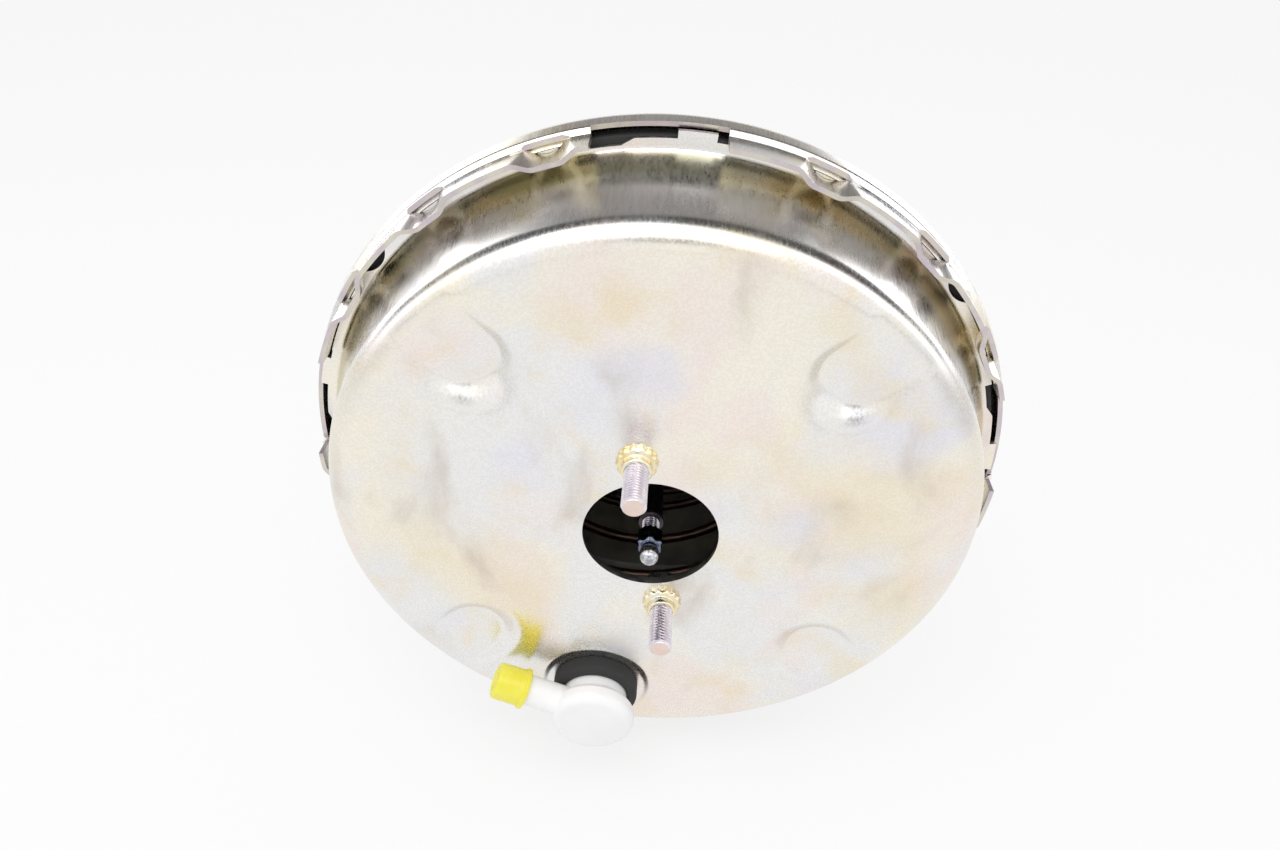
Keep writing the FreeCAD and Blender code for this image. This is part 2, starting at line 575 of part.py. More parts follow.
def stud(label, tip, seat, head_side, neck=()):
    """A headed stud on the Y axis: tip and seat are y, head_side is +1 where the head lies at +Y."""
    reach = f"({seat}) + ({head_side})*PlateThickness + ({head_side})*SheetThickness"
    head_end = f"{reach} + ({head_side})*StudHeadHeight"
    corners = [
        ("0", tip),
        ("StudRadius - StudTipChamfer", tip),
        ("StudRadius", f"({tip}) + ({head_side})*StudTipChamfer"),
        *(neck or [("StudRadius", seat)]),
        ("StudShankRadius", seat),
        ("StudShankRadius", reach),
        ("StudHeadRadius", reach),
        ("StudHeadRadius", head_end),
        ("0", head_end),
    ]
    return turned(label, corners)


# The pressed front shell

def polar(radius, clock):
    """x and z of a point at a radius and an angle from +X."""
    return f"({radius})*cos({clock})", f"({radius})*sin({clock})"


def front_form(label, skin):
    """The solid inside one skin of the front shell; skin is its depth below the outer skin."""
    body = new_body(label)
    is_cavity = skin != "0"
    profile = sketch_on(body, "XY_Plane", label + "_profile")
    face = f"{FACE} + {skin}"
    wall_end = FLANGE_REAR if is_cavity else FLANGE_FRONT
    rim = f"FlangeRadius + {'RimHalfHeight' if is_cavity else '0'}"
    corner = (f"CupRadius - {skin}", f"{CORNER_PLANE} + {skin}")
    leg = f"{BEVEL}*(CornerRadius - {skin})"
    if is_cavity:
        corners = [(f"{corner[0]} - {leg}", corner[1]), (corner[0], f"{corner[1]} + {leg}")]
    else:
        corners = [(*corner, "CornerRadius")]
    draw(profile, [("0", face), ("FaceFlatRadius", face, "FaceBlendRadius"), *corners,
                   (f"CupRootRadius - {skin}", f"{wall_end} - {BEVEL}*RootFillet"),
                   (f"CupRootRadius - {skin} + {BEVEL}*RootFillet", wall_end),
                   (rim, wall_end), (rim, f"{wall_end} + SheetThickness"),
                   ("0", f"{wall_end} + SheetThickness")])
    revolve(body, profile)

    # A pocket is a tongue on a tilted floor plane whose walls open outwards
    slope = "atan(PocketDepth/(PocketOuterEnd - PocketInnerEnd))"
    floor = sketch_on(body, "XZ_Plane", label + "_pocket")
    floor.AttachmentOffset = Placement(Vector(), Rotation(Vector(0, 1, 0), 1))
    bind(floor, AttachmentOffset__Base__x="PocketInnerEnd",
         AttachmentOffset__Base__z=f"BoosterDepth - PocketDepth + pocket_face - {skin}/cos({slope})"
         .replace("pocket_face", "FaceRise*(CupRadius - PocketOuterEnd)/(CupRadius - FaceFlatRadius)"),
         AttachmentOffset__Rotation__Angle=f"-{slope}")
    grow = f"{skin}*tan(PocketWallSlope/2)"
    half = f"PocketHalfWidth + {grow}"
    far = "CupRadius - PocketInnerEnd"
    draw(floor, [(f"0 - {grow}", f"-({half})", f"0.96*({half})"), (far, f"-({half})"),
                 (far, half), (f"0 - {grow}", half, f"0.96*({half})")])
    pocket = extrude(body, floor, "3*PocketDepth", "PartDesign::Pocket", taper="PocketWallSlope")
    pockets = repeat(body, [pocket], profile, "PocketCount")

    # The flat pad around the check valve
    pad = front_sketch(body, label + "_pad", f"{PAD_PLANE} + {skin}")
    pad_x, pad_z = polar("ValveRadius", "ValveClock - PocketClock")
    draw_circle(pad, pad_x, pad_z, f"ValvePadRadius + {grow}")
    extrude(body, pad, "PocketDepth", "PartDesign::Pocket", taper="PocketWallSlope")
    return body


def front_holes():
    """Everything that is pierced through the front face, turned with the pockets."""
    body = new_body("front_holes")
    sketch = front_sketch(body, "front_hole_sketch", f"{FACE} - SheetThickness")
    draw_circle(sketch, "0", "0", "PilotRadius")
    draw_circle(sketch, *polar("ValveRadius", "ValveClock - PocketClock"), "ValveHoleRadius")
    for turn in ("0", "180"):
        draw_circle(sketch, *polar("StudSpacing/2", f"StudClock - PocketClock + {turn}"), "StudShankRadius")
    extrude(body, sketch, "FlangeSetback/2", towards_rear=True)
    return body


def window_clocks():
    """Angles from the vertical of the windows in the rear shell's skirt."""
    return ("WindowLean", "WindowClock", "-WindowClock", "180")


def flange_cutters():
    """Tools that trim the flange edge: a stepped edge in each window and four crescent notches."""
    tools = []
    low = f"{FLANGE_FRONT} - SheetThickness"
    for number_of, clock in enumerate(window_clocks()):
        body = new_body(f"flange_edge_{number_of}")
        sketch = front_sketch(body, f"flange_edge_sketch_{number_of}", low)
        left = "-(WindowHalfWidth + 1)"
        right = "WindowHalfWidth + 1"
        step = "WindowEdgeRadius - WindowStep"
        draw(sketch, [(left, step), ("-0.58*WindowHalfWidth", step),
                      ("-0.37*WindowHalfWidth", "WindowEdgeRadius"), ("KeyTabStart", "WindowEdgeRadius"),
                      ("KeyTabStart", "KeyTabRadius + 2"), (left, "KeyTabRadius + 2")])
        draw(sketch, [("KeyTabStart + KeyTabWidth", "WindowEdgeRadius"), (right, "WindowEdgeRadius"),
                      (right, "KeyTabRadius + 2"), ("KeyTabStart + KeyTabWidth", "KeyTabRadius + 2")])
        extrude(body, sketch, "3*SheetThickness", towards_rear=True)
        turn_about_axis(body, f"90 + ({clock})")
        tools.append(body)
    notch_places = ("NotchClock", "-NotchClock", "180 - NotchClock", "180 + NotchClock")
    for number_of, clock in enumerate(notch_places):
        x, z = polar("FlangeRadius + NotchRadius - NotchReach", f"90 + ({clock})")
        tools.append(bar(f"notch_{number_of}", "NotchRadius", low, "3*SheetThickness", x, z))
    return tools


def key_tabs():
    """The tab of the front flange that stands in each window."""
    tabs = []
    for number_of, clock in enumerate(window_clocks()):
        tab = block(f"key_tab_{number_of}",
                    ("KeyTabStart", FLANGE_FRONT, "WindowEdgeRadius - 6"),
                    ("KeyTabStart + KeyTabWidth", FLANGE_REAR, "KeyTabRadius"))
        pivot = group(f"key_tab_turn_{number_of}", [tab])
        turn_about_axis(pivot, f"90 + ({clock})")
        tabs.append(pivot)
    return tabs


def front_shell():
    outer = front_form("front_outer_form", "0")
    cavity = front_form("front_cavity", "SheetThickness")
    holes = front_holes()
    pressed = DOC.addObject("Part::Cut", "front_pressing")
    pressed.Base = outer
    pressed.Tool = cavity
    pierced = DOC.addObject("Part::Cut", "front_pierced")
    pierced.Base = pressed
    pierced.Tool = holes
    pivot = group("front_turned", [pierced])
    turn_about_axis(pivot, "90 + PocketClock")
    tabbed = fuse("front_tabbed", [pivot] + key_tabs())
    keep("front_shell", cut("front_trimmed", tabbed, flange_cutters()))


def front_reinforcement():
    plate = turned("front_plate_disc", [
        ("PilotRadius + PlateBoreGap", FACE_INSIDE), ("FrontPlateRadius", FACE_INSIDE),
        ("FrontPlateRadius", f"{FACE_INSIDE} + PlateThickness"),
        ("PilotRadius + PlateBoreGap", f"{FACE_INSIDE} + PlateThickness")])
    holes = [bar(f"front_plate_hole_{i}", "StudShankRadius", f"{FACE_INSIDE} - 1",
                 "PlateThickness + 2", *polar("StudSpacing/2", f"StudClock + {i}*180")) for i in (0, 1)]
    keep("front_reinforcement", cut("front_plate", plate, holes))


def master_cylinder_studs():
    studs, collars = [], []
    thread_end = f"{FACE} - CollarHeight - RingHeight"
    neck = [("StudRadius", thread_end), ("StudNeckRadius", thread_end), ("StudNeckRadius", FACE)]
    for i in (0, 1):
        x, z = polar("StudSpacing/2", f"StudClock + {i}*180")
        pin = stud(f"front_stud_{i}", f"{FACE} - FrontStudReach", FACE, 1, neck)
        bind(pin, Placement__Base__x=x, Placement__Base__z=z)
        studs.append(pin)
        ring = turned(f"stud_collar_{i}", [
            ("StudNeckRadius + FitGap", FACE), ("CollarRadius", FACE),
            ("CollarRadius", f"{FACE} - CollarHeight + CollarBevel"),
            ("CollarRadius - CollarBevel", f"{FACE} - CollarHeight"),
            ("RingRadius", f"{FACE} - CollarHeight"), ("RingRadius", f"{thread_end} + FitGap"),
            ("StudNeckRadius + FitGap", f"{thread_end} + FitGap")])
        bind(ring, Placement__Base__x=x, Placement__Base__z=z)
        collars.append(ring)
    keep("master_cylinder_studs", group("front_studs", studs))
    keep("stud_collars", group("front_collars", collars))


# The rear shell with its lanced skirt

def lance_tools():
    """Slots sheared out of the skirt and the pressed-in strips that stand in them."""
    slots = new_body("lance_slots")
    front = f"{SKIRT_EDGE} - 1"
    rear = f"{FLANGE_FRONT} - LanceGap"
    sketch = front_sketch(slots, "lance_slot_sketch", front)
    inner, outer = "SkirtRadius - SheetThickness", "SkirtRadius"
    draw(sketch, [("-LanceHalfWidth", f"{inner} - 3"), ("LanceHalfWidth", f"{inner} - 3"),
                  ("LanceHalfWidth", f"{outer} + 3"), ("-LanceHalfWidth", f"{outer} + 3")])
    slot = extrude(slots, sketch, f"({rear}) - ({front})", towards_rear=True)
    repeat(slots, [slot], sketch, "LanceCount", "N_Axis")

    strips = new_body("lance_strips")
    sketch = front_sketch(strips, "lance_strip_sketch", SKIRT_EDGE)
    reach = "LanceHalfWidth + 0.6"
    high = f"sqrt(SkirtRadius^2 - ({reach})^2) - 0.05"
    low = f"{high} - SheetThickness + 0.2"
    bottom = "0.28*LanceHalfWidth"
    draw(sketch, [
        (f"-({reach})", high), ("-0.85*LanceHalfWidth", high),
        (f"-{bottom}", "SkirtRadius - LanceInset"), (bottom, "SkirtRadius - LanceInset"),
        ("0.85*LanceHalfWidth", high), (reach, high), (reach, low),
        ("0.76*LanceHalfWidth", low),
        (f"0.8*{bottom}", "SkirtRadius - LanceInset - SheetThickness"),
        (f"-0.8*{bottom}", "SkirtRadius - LanceInset - SheetThickness"),
        ("-0.76*LanceHalfWidth", low), (f"-({reach})", low)])
    strip = extrude(strips, sketch, f"({rear}) - ({SKIRT_EDGE})", towards_rear=True)
    repeat(strips, [strip], sketch, "LanceCount", "N_Axis")
    for ring in (slots, strips):
        turn_about_axis(ring, "LanceClock")
    return slots, strips


def skirt_windows():
    windows = []
    for number_of, clock in enumerate(window_clocks()):
        opening = block(f"window_{number_of}",
                        ("-WindowHalfWidth", f"{SKIRT_EDGE} - 1", "SkirtRadius - 9"),
                        ("WindowHalfWidth", f"{SKIRT_EDGE} + WindowDepth", "SkirtRadius + 9"))
        pivot = group(f"window_turn_{number_of}", [opening])
        turn_about_axis(pivot, f"90 + ({clock})")
        windows.append(pivot)
    return windows


def rear_shell():
    rim_rear = "RimSetback + RimHalfHeight - BoosterDepth"
    rim_front = "RimSetback - RimHalfHeight - BoosterDepth"
    shoulder = "-(RearStepDepth + RearShoulderDrop)"
    bend_start = f"RearWallRadius - {BEVEL}*RearCorner"
    slope = "RearShoulderDrop/(RearWallRadius - RearStepRadius)"
    shell = sheet_ring("rear_form", [
        ("NeckRadius", "NeckLength"),
        ("NeckRadius", "NeckBend"), ("NeckRadius + NeckBend", "0"),
        (f"RearFaceRadius - {BEVEL}*RearBend", "0"),
        (f"RearFaceRadius + {BEVEL}/2*RearBend", f"-{BEVEL}*RearBend"),
        ("RearStepRadius", "-RearStepDepth"),
        (bend_start, f"-RearStepDepth - {slope}*({bend_start} - RearStepRadius)"),
        ("RearWallRadius", f"{shoulder} - {BEVEL}*RearCorner"),
        ("RearWallRadius + RearWallFlare", f"{rim_rear} + RimBend/3"),
        (f"RimRadius - {BEVEL}*RimBend", rim_rear), ("RimRadius", f"{rim_rear} - {BEVEL}*RimBend"),
        ("RimRadius", f"{rim_front} + {BEVEL}*RimBend"),
        ("SkirtRadius", rim_front),
        ("SkirtRadius", SKIRT_EDGE)], "SheetThickness")
    slots, strips = lance_tools()
    holes = []
    for i, (sx, sz) in enumerate(REAR_STUD_SIDES):
        holes.append(bar(f"rear_hole_{i}", "StudShankRadius", "-3*SheetThickness", "6*SheetThickness",
                         f"{sx}*RearStudX/2", f"{sz}*RearStudZ/2"))
    slotted = cut("rear_slotted", shell, [slots])
    lanced = fuse("rear_lanced", [slotted, strips])
    keep("rear_shell", cut("rear_trimmed", lanced, skirt_windows() + holes))

    plate = turned("rear_plate_disc", [
        ("NeckRadius + NeckBend", "-SheetThickness"),
        ("NeckRadius + NeckBend", "-SheetThickness - PlateThickness"),
        ("RearPlateRadius", "-SheetThickness - PlateThickness"), ("RearPlateRadius", "-SheetThickness")])
    plate_holes, studs = [], []
    for i, (sx, sz) in enumerate(REAR_STUD_SIDES):
        x, z = f"{sx}*RearStudX/2", f"{sz}*RearStudZ/2"
        plate_holes.append(bar(f"rear_plate_hole_{i}", "StudShankRadius",
                               "-SheetThickness - PlateThickness - 1", "PlateThickness + 2", x, z))
        pin = stud(f"rear_stud_{i}", "RearStudReach", "0", -1)
        bind(pin, Placement__Base__x=x, Placement__Base__z=z)
        studs.append(pin)
    keep("rear_reinforcement", cut("rear_plate", plate, plate_holes))
    keep("firewall_studs", group("rear_studs", studs))


# Diaphragm, power piston and springs

def diaphragm():
    web = f"{WEB_FRONT} + DiaphragmThickness"
    bead_front = f"{FLANGE_REAR} + SoftGap"
    wall = "RearWallRadius - SheetThickness - DiaphragmWallGap"
    inner_wall = f"{wall} - DiaphragmThickness"
    bend = "DiaphragmCorner"
    lip = "TubeRadius + LipWidth"
    keep("diaphragm", turned("diaphragm_rubber", [
        ("TubeRadius + FitGap", WEB_FRONT), (f"{inner_wall} - {bend}", WEB_FRONT),
        (inner_wall, f"{WEB_FRONT} - {bend}"), (inner_wall, bead_front),
        ("SkirtRadius - SheetThickness - SoftGap", bead_front),
        ("SkirtRadius - SheetThickness - SoftGap", f"{bead_front} + BeadHeight"),
        (wall, f"{bead_front} + BeadHeight"),
        (wall, f"{WEB_FRONT} - {bend}"), (f"{wall} - {bend} - DiaphragmThickness", web),
        (lip, web), (lip, f"{web} + LipHeight"), ("TubeRadius + FitGap", f"{web} + LipHeight")]))
    plate = f"{WEB_FRONT} - SoftGap"
    keep("diaphragm_plate", sheet_ring("support_plate", [
        ("TubeRadius + FitGap", plate), ("RearWallRadius - SupportInset", plate),
        ("RearWallRadius - SupportInset + SupportLean", f"{plate} - SupportTurn")], "SupportThickness"))


def valve_body():
    ridge = f"{WEB_FRONT} + DiaphragmThickness + LipHeight + FitGap"
    hub = turned("valve_body_form", [
        ("NoseRadius + FitGap", "DiscSeat"), ("DiscRadius + FitGap", "DiscSeat"),
        ("DiscRadius + FitGap", "BossFront"), ("BossRadius", "BossFront"),
        ("BossRadius", "HubFront"), ("HubRadius", "HubFront"),
        ("HubRadius", "HubRear"), ("TubeRadius", "HubRear"),
        ("TubeRadius", ridge), ("TubeRadius + SnapHeight", ridge),
        ("TubeRadius + SnapHeight", f"{ridge} + SnapLength"), ("TubeRadius", f"{ridge} + 2*SnapLength"),
        ("TubeRadius", "TubeRear"), ("TubeBore", "TubeRear"), ("TubeBore", "SeatFloor"),
        ("SeatRadius", "SeatFloor"), ("SeatRadius", "SeatTop"), ("SeatRadius - SeatWall", "SeatTop"),
        ("SeatRadius - SeatWall", "SeatFloor"), ("PlungerRadius + FitGap", "SeatFloor"),
        ("PlungerRadius + FitGap", "PlungerFront - ControlStroke - NoseGap"),
        ("NoseRadius + FitGap", "PlungerFront - ControlStroke - NoseGap")])
    slot = block("key_slot",
                 ("-(KeyHalfWidth + SoftGap)", "KeyRear - KeyThickness - SoftGap", "-KeyFoot - 1"),
                 ("KeyHalfWidth + SoftGap", "KeyRear + SoftGap", "KeyTop + 1"))
    passages = [bar(f"vacuum_passage_{i}", "PassageRadius", "HubFront - 1", "SeatFloor - HubFront + 2",
                    *polar("(SeatRadius + TubeBore)/2", f"{i}*180")) for i in (0, 1)]
    keep("valve_body", cut("valve_body_cut", hub, [slot] + passages))


def reaction_and_output():
    keep("reaction_disc", turned("reaction_rubber", [
        ("0", "DiscSeat"), ("DiscRadius", "DiscSeat"), ("DiscRadius", "DiscSeat - DiscThickness"),
        ("0", "DiscSeat - DiscThickness")]))
    head = "DiscSeat - DiscThickness"
    keep("output_rod", turned("output_rod_form", [
        ("0", head), ("DiscRadius - RodHeadGap", head),
        ("DiscRadius - RodHeadGap", f"{head} - RodHeadHeight"),
        ("RodPushRadius", f"{head} - RodHeadHeight"), ("RodPushRadius", "RodPushFront + RodCollarHeight"),
        ("RodPushRadius + RodCollarStep", "RodPushFront + RodCollarHeight"),
        ("RodPushRadius + RodCollarStep", "RodPushFront"),
        ("ScrewRadius", "RodPushFront"), ("ScrewRadius", "RodPushFront + ScrewDepth + ScrewRoom"),
        ("0", "RodPushFront + ScrewDepth + ScrewRoom")]))
    keep("output_rod_retainer", sheet_ring("rod_retainer", [
        ("BossRadius + KeeperGap", "BossFront - KeeperGap + KeeperLength"),
        ("BossRadius + KeeperGap", "BossFront - KeeperGap"),
        ("RodPushRadius + KeeperBoreGap", "BossFront - KeeperGap")], "-KeeperSheet"))
    hexagon = DOC.addObject("Part::Prism", "adjuster_hexagon")
    hexagon.Polygon = 6
    hexagon.Placement = Placement(Vector(), Rotation(Vector(1, 0, 0), -90))
    bind(hexagon, Circumradius="HexFlats/sqrt(3)", Height="HexLength",
         Placement__Base__y="HexRear - HexLength")
    chamfers = turned("adjuster_chamfer", [
        ("0", "HexRear"), ("HexFlats/2", "HexRear"), ("HexFlats/2 + HexBevel", "HexRear - HexBevel"),
        ("HexFlats/2 + HexBevel", "HexRear - HexLength + HexBevel"), ("HexFlats/2", "HexRear - HexLength"),
        ("0", "HexRear - HexLength")])
    crown = DOC.addObject("Part::Common", "adjuster_crown")
    crown.Base, crown.Tool = hexagon, chamfers
    stem = turned("adjuster_stem", [
        ("0", "RodPushFront + ScrewDepth"), ("ScrewRadius - FitGap", "RodPushFront + ScrewDepth"),
        ("ScrewRadius - FitGap", "HexRear - 1"), ("TipRadius - TipNeck", "HexRear - 1"),
        ("TipRadius - TipNeck", "HexRear - HexLength - TipNeck"), ("TipRadius", "TipFront + TipRadius + 1"),
        ("TipRadius", "TipFront", "0.97*TipRadius"), ("0", "TipFront")])
    keep("adjuster_screw", fuse("adjuster", [crown, stem]))
    keep("return_spring", coil("main_spring", "SpringRadius", "SpringWire", f"{FACE_INSIDE} + SpringSeatGap",
                               "HubRear - SoftGap", "SpringTurns"))


def control_valve():
    plunger = turned("plunger_form", [
        ("0", "DiscSeat + NoseGap + ControlStroke"), ("NoseRadius", "DiscSeat + NoseGap + ControlStroke"),
        ("NoseRadius", "PlungerFront"), ("PlungerRadius", "PlungerFront"), ("PlungerRadius", "NeckFront"),
        ("WaistRadius", "NeckFront"), ("WaistRadius", "NeckFront + WaistLength"),
        ("PlungerRadius", "NeckFront + WaistLength"), ("PlungerRadius", "SeatTop - 2*AirSeatHeight"),
        ("PlungerSeatRadius", "SeatTop - AirSeatHeight"), ("PlungerSeatRadius", "SeatTop"),
        ("BallRadius + BallGap", "SeatTop"),
        ("BallRadius + BallGap", "BallCentre - BallRadius - FitGap"),
        ("0", "BallCentre - BallRadius - FitGap")])
    keep("plunger", plunger)
    blade = block("key_blade", ("-KeyHalfWidth", "KeyRear - KeyThickness", "-KeyFoot"),
                  ("KeyHalfWidth", "KeyRear", "KeyTop"))
    fork = block("key_fork", ("-(WaistRadius + SoftGap)", "KeyRear - KeyThickness - 1", "-KeyFoot - 1"),
                 ("WaistRadius + SoftGap", "KeyRear + 1", "WaistRadius + SoftGap"))
    keep("plunger_key", cut("key_cut", blade, [fork]))
    lip = "SeatTop + SoftGap"
    lip_radius = "SeatRadius + PoppetLipReach"
    bead_rear = "PoppetBead + PoppetBeadHeight"
    keep("poppet_valve", turned("poppet_rubber", [
        ("PoppetBore", lip), (lip_radius, lip), (lip_radius, "PoppetBead"),
        ("TubeBore - SoftGap", "PoppetBead"), ("TubeBore - SoftGap", bead_rear),
        ("SeatRadius - SoftGap", bead_rear), ("SeatRadius - SoftGap", f"{lip} + PoppetLip"),
        ("PoppetBore", f"{lip} + PoppetLip")]))
    cup = f"{bead_rear} + PaperGap"
    keep("poppet_retainer", turned("poppet_cup", [
        ("RetainerBore", cup), ("TubeBore - SoftGap", cup),
        ("TubeBore - SoftGap", f"{cup} + RetainerThickness"),
        ("RetainerBore", f"{cup} + RetainerThickness")]))
    keep("poppet_spring", coil("lip_spring", "LipSpringRadius", "LipSpringWire",
                               f"{lip} + PoppetLip + PaperGap", bead_rear, "SmallSpringTurns"))
    keep("rod_return_spring", coil("rod_spring", "RodSpringRadius", "RodSpringWire",
                                   f"{cup} + RetainerThickness + PaperGap", "RodShoulder - PaperGap",
                                   "SmallSpringTurns"))


def input_side():
    rod = turned("input_rod_form", [
        ("0", "BallCentre - BallRadius"), ("BallRadius", "BallCentre - BallRadius", "0.97*BallRadius"),
        ("BallRadius", "BallCentre + BallNeckRun"), ("RodNeckRadius", "BallCentre + 2*BallNeckRun"),
        ("RodNeckRadius", "RodShoulder - RodShankLength - 1"), ("RodRadius", "RodShoulder - RodShankLength"),
        ("RodRadius", "RodShoulder"), ("RodShoulderRadius", "RodShoulder"),
        ("RodShoulderRadius", "RodShoulder + RodShoulderHeight"),
        ("RodRadius", "RodShoulder + RodShoulderHeight"),
        ("RodRadius", "ClevisFront - ThreadFront"),
        ("ClevisThreadRadius", "ClevisFront - ThreadFront + ClevisThreadRadius - RodRadius"),
        ("ClevisThreadRadius", "RearRodLength - 1"), ("ClevisThreadRadius - 1", "RearRodLength"),
        ("0", "RearRodLength")])
    keep("input_rod", rod)
    nut = DOC.addObject("Part::Prism", "nut_hexagon")
    nut.Polygon = 6
    nut.Placement = Placement(Vector(), Rotation(Vector(1, 0, 0), -90))
    bind(nut, Circumradius="NutFlats/sqrt(3)", Height="NutHeight",
         Placement__Base__y="ClevisFront - NutHeight")
    nut_bore = bar("nut_bore", "ClevisThreadRadius", "ClevisFront - NutHeight - 1", "NutHeight + 2")
    keep("lock_nut", cut("nut_cut", nut, [nut_bore]))

    # The clevis: a fork cut from a rounded block
    yoke = fuse("clevis_yoke", [
        block("clevis_block", ("-ClevisHalfWidth", "ClevisFront", "-ClevisEarRadius"),
              ("ClevisHalfWidth", "ClevisPinY", "ClevisEarRadius")),
        cross_bar("clevis_ear", "ClevisEarRadius", "ClevisHalfWidth")])
    slot = block("clevis_slot", ("-ClevisGap", "RearRodLength - SlotFloor", "-2*ClevisEarRadius"),
                 ("ClevisGap", "ClevisPinY + 2*ClevisEarRadius", "2*ClevisEarRadius"))
    pin_hole = cross_bar("clevis_pin_hole", "ClevisPinRadius", "2*ClevisHalfWidth")
    bore = bar("clevis_bore", "ClevisThreadRadius", "ClevisFront - 1", "RearRodLength - ClevisFront")
    keep("clevis", cut("clevis_cut", yoke, [slot, pin_hole, bore]))


def cross_bar(label, radius, half_length):
    """A cylinder along X through the clevis pin's axis."""
    rod = DOC.addObject("Part::Cylinder", label)
    rod.Placement = Placement(Vector(), Rotation(Vector(0, 1, 0), 90))
    bind(rod, Radius=radius, Height=f"2*({half_length})",
         Placement__Base__x=f"-({half_length})", Placement__Base__y="ClevisPinY")
    return rod


def air_side():
    felt = "FilterFront + FilterLength + SoftGap"
    retainer = f"{felt} + FeltLength + SoftGap"
    for node, start, length in (("air_filter", "FilterFront", "FilterLength"),
                                ("silencer_felt", felt, "FeltLength")):
        keep(node, turned(node + "_ring", [
            ("FilterBore", start), ("TubeBore - FitGap", start),
            ("TubeBore - FitGap", f"{start} + {length}"), ("FilterBore", f"{start} + {length}")]))
    keep("filter_retainer", turned("retainer_ring", [
        ("FilterBore + 1", retainer), ("TubeBore - FitGap", retainer),
        ("TubeBore - FitGap", f"{retainer} + FilterRingHeight"),
        ("FilterBore + FilterRingRib + 1", f"{retainer} + FilterRingHeight")]))
    seal_rear = "SealFront + SealLength"
    neck_bore = "NeckRadius - SheetThickness"
    lip = "TubeRadius + SoftGap"
    waist = "TubeRadius + SealWaist"
    keep("neck_seal", turned("seal_rubber", [
        (lip, "SealFront"), (lip, "SealFront + SealLipHeight"),
        (waist, "SealFront + SealLipHeight + SealSlope"), (waist, f"{seal_rear} - SealLipHeight - SealSlope"),
        (lip, f"{seal_rear} - SealLipHeight"), (lip, seal_rear),
        (neck_bore, seal_rear), (neck_bore, "SealFront")]))
    cap = f"{seal_rear} + PaperGap"
    keep("seal_retainer", turned("retainer_cap", [
        ("TubeRadius + CapWallGap", cap), (neck_bore, cap),
        (neck_bore, "NeckLength"), ("NeckRadius + CapWallGap", "NeckLength"),
        ("NeckRadius + CapWallGap", "NeckLength + CapCollar"),
        ("TubeRadius + CapWallGap", "NeckLength + CapCollar")]))
    collar = "NeckRadius + SheetThickness"
    sleeve = "RodRadius + BootRodGap"
    cone_end = "TubeRear + BootStep + BootCone"
    keep("dust_boot", sheet_ring("boot", [
        (collar, "BootFront"), (collar, "NeckLength + BootCollar"),
        ("TubeRadius + BootTubeGap", "TubeRear + BootStep"), (sleeve, cone_end),
        (sleeve, f"{cone_end} + BootSleeve")], "BootThickness"))


# The check valve in its grommet, with the cap over its hose port

def at_valve(thing):
    """Move a piece that was drawn about the Y axis onto the check valve's axis."""
    x, z = polar("ValveRadius", "ValveClock")
    bind(thing, Placement__Base__x=x, Placement__Base__z=z)
    return thing


def along_port(label, radius, start, length):
    """A cylinder along the hose port, measured from the valve's axis."""
    rod = DOC.addObject("Part::Cylinder", label)
    # The cylinder's own axis is Z; it is turned about Y into the port's direction
    rod.Placement = Placement(Vector(), Rotation(Vector(0, 1, 0), 1))
    x, z = polar("ValveRadius", "ValveClock")
    step_x, step_z = polar(start, "PortClock")
    bind(rod, Radius=radius, Height=length, Placement__Rotation__Angle="90 - PortClock",
         Placement__Base__x=f"{x} + {step_x}", Placement__Base__z=f"{z} + {step_z}",
         Placement__Base__y=f"{PAD_PLANE} - PortHeight")
    return rod


